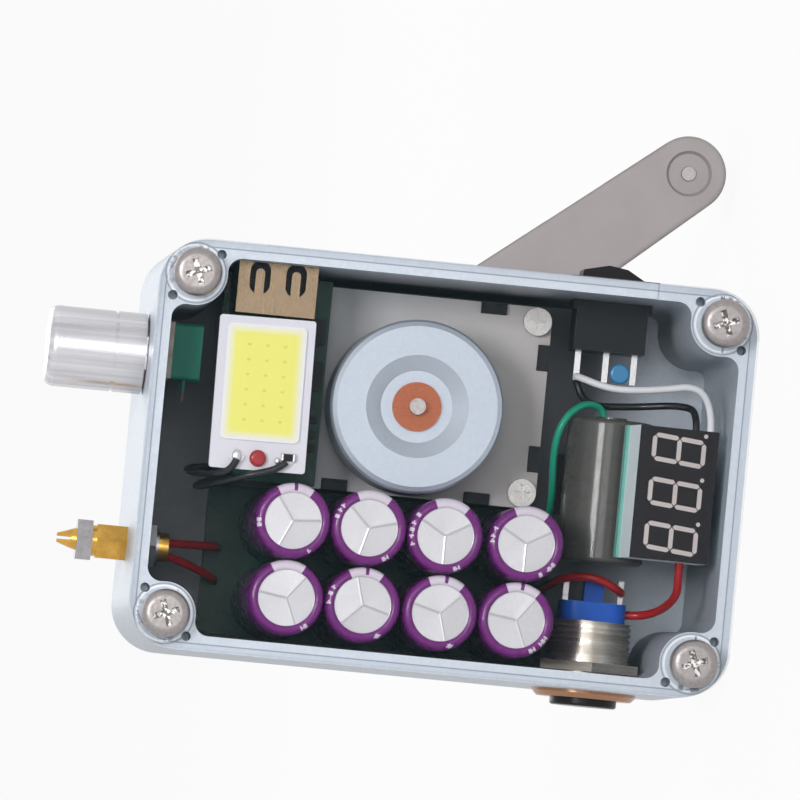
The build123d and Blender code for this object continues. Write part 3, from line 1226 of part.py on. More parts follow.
with BuildPart() as capacitor_board:
    with BuildSketch(face(CAP_END)):
        with Locations(CAP_BOARD_CENTRE):
            Rectangle(CAP_BOARD_LONG, CAP_BOARD_WIDE)
    extrude(amount=-BOARD_THICKNESS)
write(capacitor_board.part, "capacitor_board")

# ---- rocker switch on the +X wall ----


def rocker_points():
    """Rocker side profile as (distance along the box, height over the pivot)."""
    half = ROCKER_LONG / 2
    foot = ROCKER_FOOT / 2
    flat = ROCKER_FLAT / 2
    crown = ROCKER_CROWN + ROCKER_PIVOT_DROP - ROCKER_BEZEL
    shoulder = ROCKER_SHOULDER + ROCKER_PIVOT_DROP - ROCKER_BEZEL
    return [(-half, shoulder), (-flat, crown), (flat, crown), (half, shoulder), (half, shoulder / 2),
            (foot, -ROCKER_DROP + 1), (-foot, -ROCKER_DROP + 1), (-half, shoulder / 2)]


ROCKER_PIVOT = Vector(ROCKER_PIVOT_X, ROCKER_Y, ROCKER_Z)
with BuildPart() as rocker:
    lean = math.radians(ROCKER_TILT)
    with BuildSketch(Plane(origin=ROCKER_PIVOT - Vector(0, ROCKER_DEEP / 2, 0),
                           x_dir=(math.sin(lean), 0, math.cos(lean)), z_dir=(0, 1, 0))):
        with BuildLine():
            Polyline(*rocker_points(), close=True)
        make_face()
    extrude(amount=ROCKER_DEEP)
    pivot_start = ROCKER_PIVOT - Vector(0, ROCKER_DEEP / 2 + TRUNNION_LENGTH, 0)
    with BuildSketch(Plane(origin=pivot_start, x_dir=(0, 0, 1), z_dir=(0, 1, 0))):
        Circle(TRUNNION_RADIUS)
    extrude(amount=ROCKER_DEEP + 2 * TRUNNION_LENGTH)
write(rocker.part, "rocker")

with BuildPart() as rocker_body:
    with BuildSketch(Plane.YZ.offset(HALF_WIDTH)):
        with Locations((ROCKER_Y, ROCKER_Z)):
            RectangleRounded(ROCKER_BEZEL_DEEP, ROCKER_BEZEL_LONG, 0.8)
    extrude(amount=ROCKER_BEZEL)
    with BuildSketch(Plane.YZ.offset(HALF_WIDTH)):
        with Locations((ROCKER_Y, ROCKER_Z)):
            Rectangle(ROCKER_BODY_DEEP, ROCKER_BODY_LONG)
    extrude(amount=-ROCKER_COLLAR)
    with BuildSketch(Plane.YZ.offset(HALF_WIDTH)):
        with Locations((ROCKER_Y, ROCKER_Z)):
            Rectangle(ROCKER_BODY_DEEP, ROCKER_CASE_LONG)
    extrude(amount=-ROCKER_BODY_HEIGHT)
    with BuildSketch(Plane.YZ.offset(HALF_WIDTH + ROCKER_BEZEL)):
        with Locations((ROCKER_Y, ROCKER_Z)):
            Rectangle(ROCKER_POCKET_DEEP, ROCKER_POCKET_LONG)
    extrude(amount=-ROCKER_POCKET_HEIGHT, mode=Mode.SUBTRACT)
    hole_length = ROCKER_POCKET_DEEP + 4 * TRUNNION_LENGTH
    with BuildSketch(Plane(origin=ROCKER_PIVOT - Vector(0, hole_length / 2, 0), x_dir=(0, 0, 1),
                           z_dir=(0, 1, 0))):
        Circle(TRUNNION_RADIUS + ROCKER_CLEARANCE)
    extrude(amount=hole_length, mode=Mode.SUBTRACT)
write(rocker_body.part, "rocker_body")

ROCKER_END = HALF_WIDTH - ROCKER_BODY_HEIGHT
with BuildPart() as rocker_terminals:
    with BuildSketch(Plane.YZ.offset(ROCKER_END)):
        with Locations((ROCKER_Y, ROCKER_Z)):
            with GridLocations(1, TERMINAL_PITCH, 1, 3):
                Rectangle(TERMINAL_DEEP, TERMINAL_LONG)
    extrude(amount=-TERMINAL_LENGTH)
write(rocker_terminals.part, "rocker_terminals")

BEAD_CAP_ALONG = ROCKER_ALONG + TERMINAL_PITCH - TERMINAL_LONG / 2 - BEAD_CAP_RADIUS
BEAD_CAP_ACROSS = ROCKER_END - TERMINAL_LENGTH + BEAD_CAP_RADIUS
with BuildPart() as bead_capacitor:
    with BuildSketch(face(ROCKER_DEPTH - BEAD_CAP_THICKNESS / 2)):
        with Locations((BEAD_CAP_ALONG, BEAD_CAP_ACROSS)):
            Circle(BEAD_CAP_RADIUS)
    extrude(amount=-BEAD_CAP_THICKNESS)
    fillet(bead_capacitor.edges().filter_by(GeomType.CIRCLE), BEAD_CAP_THICKNESS / 3)
write(bead_capacitor.part, "bead_capacitor")

# ---- push button in the -X wall ----


def button_plane(across):
    """Plane square to the button's axis, its normal towards the inside of the box."""
    return Plane(origin=(across, BUTTON_Y, BUTTON_Z), x_dir=(0, 1, 0), z_dir=(1, 0, 0))


CAP_INNER_FACE = -HALF_WIDTH - BUTTON_BEZEL - BUTTON_CAP_PROUD + BUTTON_CAP_LENGTH
with BuildPart() as button_barrel:
    with BuildSketch(button_plane(-HALF_WIDTH)):
        Circle(BUTTON_BEZEL_RADIUS)
    extrude(amount=-BUTTON_BEZEL)
    chamfer(button_barrel.faces().sort_by(Axis.X)[0].edges(), BUTTON_BEVEL)
    with BuildSketch(button_plane(-HALF_WIDTH)):
        Circle(BUTTON_BARREL_RADIUS)
    extrude(amount=BARREL_END + HALF_WIDTH)
    # thread as shallow rings along the barrel inside the box
    rings = int((BUTTON_BARREL_INSIDE - BUTTON_NUT_THICKNESS) / THREAD_PITCH)
    for ring in range(rings):
        with BuildSketch(button_plane(BARREL_END - (ring + 0.6) * THREAD_PITCH)):
            Circle(BUTTON_BARREL_RADIUS)
            Circle(BUTTON_BARREL_RADIUS - THREAD_GROOVE, mode=Mode.SUBTRACT)
        extrude(amount=THREAD_PITCH / 2, mode=Mode.SUBTRACT)
    with BuildSketch(button_plane(-HALF_WIDTH - BUTTON_BEZEL)):
        Circle(BUTTON_CAP_RADIUS + BUTTON_CLEARANCE)
    extrude(amount=BUTTON_BEZEL + WALL, mode=Mode.SUBTRACT)
    with BuildSketch(button_plane(-HALF_WIDTH)):
        Circle(BUTTON_BARREL_RADIUS - BUTTON_BARREL_WALL)
    extrude(amount=BARREL_END + HALF_WIDTH, mode=Mode.SUBTRACT)
write(button_barrel.part, "button_barrel")

with BuildPart() as button_cap:
    with BuildSketch(button_plane(CAP_INNER_FACE)):
        Circle(BUTTON_CAP_RADIUS)
    extrude(amount=-BUTTON_CAP_LENGTH)
    fillet(button_cap.faces().sort_by(Axis.X)[0].edges(), BUTTON_CAP_PROUD / 3)
write(button_cap.part, "button_cap")

STOP_HEIGHT = BARREL_END - CAP_INNER_FACE - BUTTON_TRAVEL - BUTTON_CLEARANCE
with BuildPart() as button_base:
    with BuildSketch(button_plane(BARREL_END)):
        RectangleRounded(BASE_LONG, BASE_LONG, BASE_CORNER)
    extrude(amount=BASE_HEIGHT)
    with BuildSketch(button_plane(BARREL_END)):
        Rectangle(NUB_WIDTH, NUB_WIDTH)
    extrude(amount=BASE_HEIGHT + NUB_HEIGHT)
    # stop that the cap meets at the end of its travel
    with BuildSketch(button_plane(BARREL_END)):
        Circle(BUTTON_STOP_RADIUS)
    extrude(amount=-STOP_HEIGHT)
write(button_base.part, "button_base")

with BuildPart() as button_pins:
    with BuildSketch(button_plane(BARREL_END + BASE_HEIGHT)):
        with GridLocations(1, BUTTON_PIN_SPACING, 1, 2):
            Rectangle(BUTTON_PIN_SIDE, BUTTON_PIN_SIDE)
    extrude(amount=BUTTON_PIN_LENGTH)
write(button_pins.part, "button_pins")

with BuildPart() as button_nut:
    with BuildSketch(button_plane(BUTTON_WALL - HALF_WIDTH)):
        RegularPolygon(BUTTON_NUT_FLATS / 2, 6, major_radius=False)
        Circle(BUTTON_BARREL_RADIUS, mode=Mode.SUBTRACT)
    extrude(amount=BUTTON_NUT_THICKNESS)
write(button_nut.part, "button_nut")

# ---- digit display near the plain end ----
TILT = math.radians(DISPLAY_TILT)
DISPLAY_ALONG = HALF_LENGTH - WALL - DISPLAY_GAP - DISPLAY_LONG * math.cos(TILT) / 2


def display_plane(below):
    """Plane of the display's face, or one that many mm below it, leaning to the end wall."""
    along = DISPLAY_ALONG - below * math.sin(TILT)
    depth = DISPLAY_DEPTH + below * math.cos(TILT)
    return Plane(origin=spot(along, DISPLAY_ACROSS, depth), x_dir=(0, math.sin(TILT), -math.cos(TILT)),
                 z_dir=(0, -math.cos(TILT), -math.sin(TILT)))


with BuildPart() as display_case:
    with BuildSketch(display_plane(0)):
        Rectangle(DISPLAY_LONG, DISPLAY_WIDE)
    extrude(amount=-DISPLAY_HEIGHT)
write(display_case.part, "display_case")

with BuildPart() as display_board:
    with BuildSketch(display_plane(DISPLAY_HEIGHT)):
        Rectangle(DISPLAY_LONG + 2 * DISPLAY_BOARD_EXTRA, DISPLAY_WIDE)
    extrude(amount=-BOARD_THICKNESS)
write(display_board.part, "display_board")

# ---- storage cell and the bracket that carries it and the display ----
CELL_Y = RIM_Y + CELL_DEPTH
CELL_Z = HALF_LENGTH - CELL_ALONG
CELL_END = CELL_ACROSS + CELL_LENGTH / 2
with BuildPart() as storage_cell:
    with BuildSketch(Plane.YZ.offset(CELL_END)):
        with Locations((CELL_Y, CELL_Z)):
            Circle(CELL_RADIUS)
    extrude(amount=-CELL_LENGTH)
    fillet(storage_cell.edges().filter_by(GeomType.CIRCLE), CELL_EDGE)
    with BuildSketch(Plane.YZ.offset(CELL_END)):
        with Locations((CELL_Y, CELL_Z)):
            Circle(CELL_CAP_RADIUS)
    extrude(amount=CELL_CAP_HEIGHT)
write(storage_cell.part, "storage_cell")

BRACKET_BOTTOM = CAP_BOARD_TOP + BRACKET_CAP_GAP
BRACKET_CENTRE = ((BRACKET_LEFT + BRACKET_RIGHT) / 2, (BRACKET_BOTTOM + BRACKET_TOP) / 2)
BRACKET_LONG = BRACKET_RIGHT - BRACKET_LEFT
BRACKET_WIDE = BRACKET_TOP - BRACKET_BOTTOM
CRADLE_FRONT = CELL_DEPTH + CELL_RADIUS - CRADLE_RISE
POST_ALONG = BRACKET_RIGHT - DISPLAY_POST_LONG / 2
with BuildPart() as inner_bracket:
    with BuildSketch(face(FLOOR_DEPTH)):
        with Locations(BRACKET_CENTRE):
            RectangleRounded(BRACKET_LONG, BRACKET_WIDE, 1.0)
    extrude(amount=BRACKET_BASE)
    with BuildSketch(face(FLOOR_DEPTH)):
        with Locations((CELL_ALONG, BRACKET_CENTRE[1])):
            Rectangle(CRADLE_LONG, BRACKET_WIDE)
    extrude(amount=FLOOR_DEPTH - CRADLE_FRONT)
    with BuildSketch(Plane.YZ.offset(CELL_END)):
        with Locations((CELL_Y, CELL_Z)):
            Circle(CELL_RADIUS + CELL_SEAT_CLEARANCE)
    extrude(amount=-CELL_LENGTH, mode=Mode.SUBTRACT)
    with BuildSketch(face(FLOOR_DEPTH)):
        with Locations((POST_ALONG, DISPLAY_ACROSS)):
            Rectangle(DISPLAY_POST_LONG, DISPLAY_POST_WIDE)
    extrude(amount=FLOOR_DEPTH - DISPLAY_DEPTH)
    with BuildSketch(display_plane(DISPLAY_HEIGHT + BOARD_THICKNESS)):
        Rectangle(3 * DISPLAY_LONG, 3 * DISPLAY_POST_WIDE)
    extrude(amount=3 * DISPLAY_HEIGHT, mode=Mode.SUBTRACT)
write(inner_bracket.part, "inner_bracket")

# ---- wiring, each lead a round tube of straight runs and arcs ----
TERMINAL_TIP = ROCKER_END - TERMINAL_LENGTH
DISPLAY_TOP = DISPLAY_ACROSS + DISPLAY_WIDE / 2
DISPLAY_BOTTOM = DISPLAY_ACROSS - DISPLAY_WIDE / 2
BASE_SIDE = BUTTON_ALONG + BASE_LONG / 2
BASE_ACROSS = BARREL_END + BASE_HEIGHT / 2
PIN_ALONG_RIGHT = BUTTON_ALONG + BUTTON_PIN_SPACING / 2
PIN_MIDDLE = BARREL_END + BASE_HEIGHT + BUTTON_PIN_LENGTH / 2
WHITE_END_ALONG = DISPLAY_ALONG + 5.4
WHITE_END_DEPTH = DISPLAY_DEPTH + 3.3
BLACK_END_ALONG = DISPLAY_ALONG + 3.2
BLACK_END_DEPTH = DISPLAY_DEPTH + 5.4
BANK_RIGHT = CAP_BOARD_RIGHT - 2.2
BANK_TOP = CAP_ROW + CAP_ROW_PITCH + 4.1
BANK_MIDDLE = CAP_ROW + CAP_ROW_PITCH / 2


def lead(name, radius, places):
    """One lead through places given as (along, across, depth), printing its bends."""
    points = [spot(*place) for place in places]
    runs = [(b - a).length for a, b in zip(points, points[1:])]
    bends = []
    for i in range(1, len(points) - 1):
        turn = (points[i] - points[i - 1]).get_angle(points[i + 1] - points[i])
        bends.append(0.45 * min(runs[i - 1], runs[i]) / math.tan(math.radians(turn / 2)))
    with BuildPart() as tube:
        with BuildLine() as route:
            FilletPolyline(*points, radius=bends)
        path = route.wires()[0]
        with BuildSketch(Plane(origin=path @ 0, z_dir=path % 0)):
            Circle(radius)
        sweep(path=path)
    section = math.pi * radius ** 2
    print(name, "radii", [round(bend, 1) for bend in bends], "length", round(path.length, 1),
          "volume ratio", round(tube.part.volume / (section * path.length), 4))
    return tube.part


def write_leads(name, leads):
    with BuildPart() as bundle:
        for tube in leads:
            add(tube)
    write(bundle.part, name)


CELL_TOP = CELL_END + CELL_CAP_HEIGHT
LEFT_LUG = ROCKER_ALONG - TERMINAL_PITCH
white_wire = lead("white wire", THIN_WIRE, [
    (LEFT_LUG, TERMINAL_TIP + THIN_WIRE, ROCKER_DEPTH - TERMINAL_DEEP / 2),
    (LEFT_LUG, TERMINAL_TIP + THIN_WIRE, ROCKER_DEPTH - WIRE_RUN),
    (LEFT_LUG + 3 * WIRE_RUN, TERMINAL_TIP - WIRE_DROP, ROCKER_DEPTH - 2 * WIRE_RUN),
    (DISPLAY_ALONG - 3.0, TERMINAL_TIP - WIRE_DROP / 2, 14.0),
    (DISPLAY_ALONG + 3.4, TERMINAL_TIP + WIRE_DROP / 2, 11.0),
    (WHITE_END_ALONG, TERMINAL_TIP - 3 * WIRE_DROP, WHITE_END_DEPTH),
    (WHITE_END_ALONG, DISPLAY_TOP, WHITE_END_DEPTH),
])
black_wire = lead("black wire", THIN_WIRE, [
    (LEFT_LUG, TERMINAL_TIP + THIN_WIRE, ROCKER_DEPTH + TERMINAL_DEEP / 2),
    (LEFT_LUG, TERMINAL_TIP + THIN_WIRE, ROCKER_DEPTH + WIRE_RUN),
    (LEFT_LUG + WIRE_RUN, TERMINAL_TIP - 2 * WIRE_RUN, ROCKER_DEPTH + WIRE_RUN / 2),
    (LEFT_LUG + 4 * WIRE_RUN, TERMINAL_TIP - 2 * WIRE_RUN, ROCKER_DEPTH - 2 * WIRE_RUN),
    (DISPLAY_ALONG + 2.4, TERMINAL_TIP - 2 * WIRE_DROP, 13.4),
    (BLACK_END_ALONG, DISPLAY_TOP + WIRE_RUN, BLACK_END_DEPTH),
    (BLACK_END_ALONG, DISPLAY_TOP, BLACK_END_DEPTH),
])
green_wire = lead("green wire", THIN_WIRE, [
    (CELL_ALONG - 1.5, CELL_TOP, CELL_DEPTH - CELL_CAP_RADIUS / 2),
    (CELL_ALONG - 1.8, CELL_TOP + 1.5, CELL_DEPTH - CELL_CAP_RADIUS / 2),
    (CELL_ALONG - 5.0, CELL_TOP + 2.0, 16.6),
    (CELL_ALONG - 8.4, CELL_TOP - 0.8, 15.0),
    (CELL_ALONG - 9.7, CELL_TOP - 5.8, 16.0),
    (CELL_ALONG - 8.6, CELL_TOP - 14.4, 21.0),
    (BANK_RIGHT, BANK_TOP, 30.0),
    (BANK_RIGHT, BANK_TOP, CAP_END),
])
red_display_wire = lead("red wire at the display", RED_WIRE, [
    (BASE_SIDE, BASE_ACROSS, BUTTON_DEPTH - 2.0),
    (BASE_SIDE + 2 * WIRE_RUN, BASE_ACROSS, BUTTON_DEPTH - 2.0),
    (DISPLAY_ALONG + 2.8, BASE_ACROSS + 3.2, 10.5),
    (DISPLAY_ALONG + 2.4, DISPLAY_BOTTOM - WIRE_RUN, 8.0),
    (DISPLAY_ALONG + 2.4, DISPLAY_BOTTOM, 8.0),
])
red_button_wire = lead("red wire at the button", RED_WIRE, [
    (PIN_ALONG_RIGHT, PIN_MIDDLE, BUTTON_DEPTH - BUTTON_PIN_SIDE / 2),
    (PIN_ALONG_RIGHT, PIN_MIDDLE, BUTTON_DEPTH - 3.6),
    (BUTTON_ALONG - 0.2, PIN_MIDDLE + 2.3, BUTTON_DEPTH - 5.2),
    (BUTTON_ALONG - 5.6, PIN_MIDDLE + 1.8, BUTTON_DEPTH - 3.0),
    (BANK_RIGHT, BANK_MIDDLE, 27.0),
    (BANK_RIGHT, BANK_MIDDLE, CAP_END),
])
TAG_ALONG = POST_WALL + INNER_NUT_THICKNESS + TAG_THICKNESS - HALF_LENGTH
TAG_END = POST_DEPTH + TAG_LENGTH - RED_WIRE
BANK_LEFT = CAP_BOARD_LEFT + 2.1
post_wires = [
    lead("red wire at the terminal", RED_WIRE, [
        (TAG_ALONG, POST_ACROSS + shift, TAG_END),
        (TAG_ALONG + WIRE_RUN, POST_ACROSS + shift, TAG_END),
        (BANK_LEFT - 4.1, POST_ACROSS + shift + drift / 2, CAP_END - 9.5),
        (BANK_LEFT, POST_ACROSS + shift + drift, CAP_END - 6.0),
        (BANK_LEFT, POST_ACROSS + shift + drift, CAP_END),
    ])
    for shift, drift in ((-1.0, -3.2), (1.0, 0.4))]
LEAD_DEPTH = COB_DEPTH - PAD_HEIGHT - THIN_WIRE
FIRST_PAD = COB_ALONG + COB_PADS_ALONG[0]
SECOND_PAD = COB_ALONG + COB_PADS_ALONG[1]
LAMP_LEFT = COB_ALONG - COB_LONG / 2
LAMP_END = COB_ACROSS - COB_WIDE / 2
first_lamp_wire = lead("first lamp wire", THIN_WIRE, [
    (FIRST_PAD + 0.2, LAMP_END + 1.6, LEAD_DEPTH),
    (FIRST_PAD - 0.6, LAMP_END - 0.7, LEAD_DEPTH + 0.3),
    (LAMP_LEFT + 0.4, LAMP_END - 1.3, 4.4),
    (LAMP_LEFT - 3.1, LAMP_END - 1.0, 9.0),
    (LAMP_LEFT - 2.0, LAMP_END - 0.1, USB_BACK - 5.2),
    (LAMP_LEFT + 2.3, LAMP_END + 0.6, USB_BACK - WIRE_RUN),
    (LAMP_LEFT + 2.3, LAMP_END + 0.6, USB_BACK),
])
second_lamp_wire = lead("second lamp wire", THIN_WIRE, [
    (SECOND_PAD + 0.2, LAMP_END + 1.8, LEAD_DEPTH),
    (SECOND_PAD - 1.0, LAMP_END + 0.5, LEAD_DEPTH),
    (LAMP_LEFT + 7.2, LAMP_END - 0.8, LEAD_DEPTH + 0.3),
    (LAMP_LEFT + 3.4, LAMP_END - 2.1, 4.4),
    (LAMP_LEFT - 0.6, LAMP_END - 3.4, 8.0),
    (LAMP_LEFT - 1.2, LAMP_END - 3.0, USB_BACK - 7.0),
    (LAMP_LEFT + 5.0, LAMP_END - 0.3, USB_BACK - WIRE_RUN),
    (LAMP_LEFT + 5.0, LAMP_END - 0.3, USB_BACK),
])
write_leads("white_wire", [white_wire])
write_leads("green_wire", [green_wire])
write_leads("black_wires", [black_wire, first_lamp_wire, second_lamp_wire])
write_leads("red_wires", [red_display_wire, red_button_wire] + post_wires)
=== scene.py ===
import math
import random

import bmesh
import bpy
from mathutils import Matrix, Vector


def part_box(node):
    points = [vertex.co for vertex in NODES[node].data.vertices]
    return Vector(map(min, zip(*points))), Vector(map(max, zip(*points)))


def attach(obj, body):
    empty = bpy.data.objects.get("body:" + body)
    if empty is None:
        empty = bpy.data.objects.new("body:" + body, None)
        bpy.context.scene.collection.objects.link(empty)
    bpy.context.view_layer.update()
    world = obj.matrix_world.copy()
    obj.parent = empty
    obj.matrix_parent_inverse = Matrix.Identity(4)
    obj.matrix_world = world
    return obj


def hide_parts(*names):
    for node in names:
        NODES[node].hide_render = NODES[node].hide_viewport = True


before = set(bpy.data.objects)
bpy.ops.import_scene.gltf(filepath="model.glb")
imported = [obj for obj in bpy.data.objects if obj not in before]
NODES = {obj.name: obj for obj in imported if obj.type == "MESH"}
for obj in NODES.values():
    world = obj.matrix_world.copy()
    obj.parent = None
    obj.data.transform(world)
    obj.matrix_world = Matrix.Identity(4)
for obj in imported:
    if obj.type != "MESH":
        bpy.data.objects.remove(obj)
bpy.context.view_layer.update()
MM = 0.001

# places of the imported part, in metres
RIM_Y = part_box("enclosure_box")[0].y
HALF_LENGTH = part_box("enclosure_box")[1].z / 2


def spot(along, across, depth):
    """A place in the box, in mm along, across and below the rim, as a point of the frame."""
    return Vector((across * MM, RIM_Y + depth * MM, HALF_LENGTH - along * MM))


# ---- materials ----


def linear(red, green, blue):
    """Linear colour of a screen colour given as 0 to 255."""
    def channel(value):
        value = value / 255
        return value / 12.92 if value <= 0.04045 else ((value + 0.055) / 1.055) ** 2.4
    return (channel(red), channel(green), channel(blue), 1.0)


class Shader:
    """A principled material with helpers that add its nodes."""

    def __init__(self, name, colour, rough=0.5, metallic=0.0, coat=0.0, alpha=1.0):
        self.material = bpy.data.materials.new(name)
        self.material.use_nodes = True
        self.tree = self.material.node_tree
        self.shader = self.tree.nodes["Principled BSDF"]
        self.colour = linear(*colour)
        self.shader.inputs["Base Color"].default_value = self.colour
        self.shader.inputs["Roughness"].default_value = rough
        self.shader.inputs["Metallic"].default_value = metallic
        self.shader.inputs["Coat Weight"].default_value = coat
        self.shader.inputs["Alpha"].default_value = alpha
        self.material.diffuse_color = self.colour
        coordinates = self.node("ShaderNodeTexCoord")
        self.place = coordinates.outputs["Object"]
        self.normal = coordinates.outputs["Normal"]
        self.height = None

    def node(self, kind, **values):
        made = self.tree.nodes.new(kind)
        for key, value in values.items():
            setattr(made, key, value)
        return made

    def join(self, start, end):
        self.tree.links.new(start, end)

    def noise(self, scale, detail=3.0, stretch=(1, 1, 1)):
        """Noise in the frame's own metres, scale in features per metre."""
        mapping = self.node("ShaderNodeMapping")
        mapping.inputs["Scale"].default_value = stretch
        self.join(self.place, mapping.inputs["Vector"])
        made = self.node("ShaderNodeTexNoise")
        made.inputs["Scale"].default_value = scale
        made.inputs["Detail"].default_value = detail
        self.join(mapping.outputs["Vector"], made.inputs["Vector"])
        return made.outputs["Fac"]

    def ramp(self, value, low, high, start=0.0, end=1.0):
        made = self.node("ShaderNodeMapRange")
        made.inputs["From Min"].default_value = low
        made.inputs["From Max"].default_value = high
        made.inputs["To Min"].default_value = start
        made.inputs["To Max"].default_value = end
        self.join(value, made.inputs["Value"])
        return made.outputs["Result"]

    def math(self, operation, first, second=0.0, third=0.0):
        made = self.node("ShaderNodeMath", operation=operation)
        for socket, value in zip(made.inputs, (first, second, third)):
            if isinstance(value, (int, float)):
                socket.default_value = value
            else:
                self.join(value, socket)
        return made.outputs[0]

    def axis(self, name):
        if not hasattr(self, "split"):
            self.split = self.node("ShaderNodeSeparateXYZ")
            self.join(self.place, self.split.inputs[0])
        return self.split.outputs[name]

    def facing(self, direction):
        """How squarely a surface faces a direction, from -1 to 1."""
        made = self.node("ShaderNodeVectorMath", operation="DOT_PRODUCT")
        self.join(self.normal, made.inputs[0])
        made.inputs[1].default_value = direction
        return made.outputs["Value"]

    def tint(self, factor, colour):
        """Mix another colour in by a factor."""
        mix = self.node("ShaderNodeMix", data_type="RGBA")
        socket = self.shader.inputs["Base Color"]
        if socket.is_linked:
            self.join(socket.links[0].from_socket, mix.inputs["A"])
        else:
            mix.inputs["A"].default_value = self.colour
        mix.inputs["B"].default_value = linear(*colour)
        self.join(factor, mix.inputs["Factor"])
        self.join(mix.outputs["Result"], socket)
        return self

    def rough(self, value, low, high, start, end):
        self.join(self.ramp(value, low, high, start, end), self.shader.inputs["Roughness"])
        return self

    def bump(self, value, distance, strength=0.5):
        made = self.node("ShaderNodeBump")
        made.inputs["Distance"].default_value = distance
        made.inputs["Strength"].default_value = strength
        self.join(value, made.inputs["Height"])
        if self.height is not None:
            self.join(self.height, made.inputs["Normal"])
        self.height = made.outputs["Normal"]
        self.join(self.height, self.shader.inputs["Normal"])
        return self


def plastic(name, colour, other, rough=0.45, grain=5000, coat=0.0, height=0.00001):
    """Moulded plastic: two near tones in patches and a fine grain."""
    made = Shader(name, colour, rough, coat=coat)
    made.shader.inputs["Specular IOR Level"].default_value = 0.16
    made.tint(made.ramp(made.noise(120), 0.35, 0.7, 0.0, 0.4), other)
    made.rough(made.noise(700), 0.3, 0.7, rough - 0.06, rough + 0.06)
    made.bump(made.noise(grain), height, 0.25)
    return made


def metal(name, colour, other, rough=0.3, metallic=1.0, stretch=(1, 1, 1), grain=1800, height=0.00001):
    """Metal with a brushed or cast grain along one direction."""
    made = Shader(name, colour, rough, metallic)
    grained = made.noise(grain, 4.0, stretch)
    made.tint(made.ramp(grained, 0.3, 0.75, 0.0, 0.7), other)
    made.rough(grained, 0.3, 0.7, rough - 0.06, rough + 0.08)
    made.bump(grained, height, 0.3)
    return made


def dress(node, shader):
    """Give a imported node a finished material."""
    mesh = NODES[node].data
    mesh.materials.clear()
    mesh.materials.append(shader.material)


OPEN_SIDE = (0.0, -1.0, 0.0)

CAST = metal("cast_aluminium", (196, 203, 212), (184, 192, 203), 0.42, 0.3, grain=1600)
CLEAR = Shader("clear_acrylic", (120, 150, 160), 0.05)
CLEAR.join(CLEAR.ramp(CLEAR.math("ABSOLUTE", CLEAR.facing(OPEN_SIDE)), 0.3, 0.9, 0.3, 0.015),
           CLEAR.shader.inputs["Alpha"])
from_middle = CAST.math("ABSOLUTE", CAST.math("SUBTRACT", CAST.axis("Z"), HALF_LENGTH))
from_axis = CAST.math("ABSOLUTE", CAST.axis("X"))


def beyond(value, start):
    return CAST.math("MAXIMUM", CAST.math("SUBTRACT", value, start), 0.0)


def span(first, second):
    return CAST.math("SQRT", CAST.math("ADD", CAST.math("MULTIPLY", first, first),
                                       CAST.math("MULTIPLY", second, second)))


edge = span(beyond(from_axis, 26 * MM), beyond(from_middle, 42 * MM))
# painted shade: the inside of the cast is painted darker with depth, least beside the plain end
painted_depth_shade = CAST.math("MULTIPLY", CAST.ramp(CAST.axis("Y"), RIM_Y + 2 * MM, RIM_Y + 28 * MM, 0.0, 0.92),
                 CAST.math("LESS_THAN", CAST.axis("Y"), RIM_Y + 46 * MM))
painted_depth_shade = CAST.math("MULTIPLY", painted_depth_shade, CAST.math("LESS_THAN", edge, 6.4 * MM))
painted_depth_shade = CAST.math("MULTIPLY", painted_depth_shade, CAST.ramp(CAST.axis("Z"), 11 * MM, 22 * MM, 0.12, 1.0))
CAST.tint(painted_depth_shade, (44, 42, 46))
# painted shade and highlight lines on the rim: a painted shade line along its outer edge with a painted shade ledge
# beyond it, and round each screw's pad a painted shade line and a painted highlight ring
on_rim = CAST.math("MULTIPLY", CAST.ramp(CAST.facing(OPEN_SIDE), 0.9, 0.97),
                   CAST.math("LESS_THAN", CAST.axis("Y"), RIM_Y + 0.9 * MM))


def painted_line_mask(distance, place, half):
    off = CAST.math("ABSOLUTE", CAST.math("SUBTRACT", distance, place))
    return CAST.math("MULTIPLY", on_rim, CAST.ramp(off, half, half * 0.4))


CAST.tint(CAST.math("MULTIPLY", on_rim, CAST.ramp(edge, 6.75 * MM, 6.95 * MM, 0.0, 0.35)), (170, 178, 190))
CAST.tint(painted_line_mask(edge, 6.8 * MM, 0.16 * MM), (138, 146, 160))
screw = span(CAST.math("SUBTRACT", from_axis, 28.3 * MM), CAST.math("SUBTRACT", from_middle, 44.0 * MM))
# painted shade line and painted highlight ring round each screw's pad
CAST.tint(painted_line_mask(screw, 5.0 * MM, 0.16 * MM), (138, 144, 154))
CAST.tint(painted_line_mask(screw, 4.6 * MM, 0.2 * MM), (232, 236, 242))
SCREW_STEEL = metal("screw_steel", (168, 162, 160), (134, 128, 126), 0.34, 0.7)
HEAD = metal("screw_head", (160, 154, 153), (132, 126, 125), 0.36, 0.6)
head_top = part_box("cover_screws")[0].y
# painted shade in the cross recess of each screw head, with painted glints scattered in it
painted_recess_mask = HEAD.math("MULTIPLY", HEAD.ramp(HEAD.axis("Y"), head_top + 0.9 * MM, head_top + 1.3 * MM),
                   HEAD.ramp(HEAD.facing(OPEN_SIDE), 0.85, 0.95))
HEAD.tint(painted_recess_mask, (104, 98, 98))
HEAD.tint(HEAD.math("MULTIPLY", painted_recess_mask, HEAD.ramp(HEAD.noise(1500), 0.46, 0.56)), (246, 244, 240))
SMALL_HEAD = metal("small_screw_head", (172, 170, 168), (150, 147, 145), 0.28, 0.8, grain=700, height=0.000002)
CAN = metal("rotor_steel", (180, 188, 199), (170, 179, 190), 0.36, 0.35, grain=2500)
PLATE = plastic("gearbox_plate", (204, 206, 210), (192, 194, 198), 0.5)
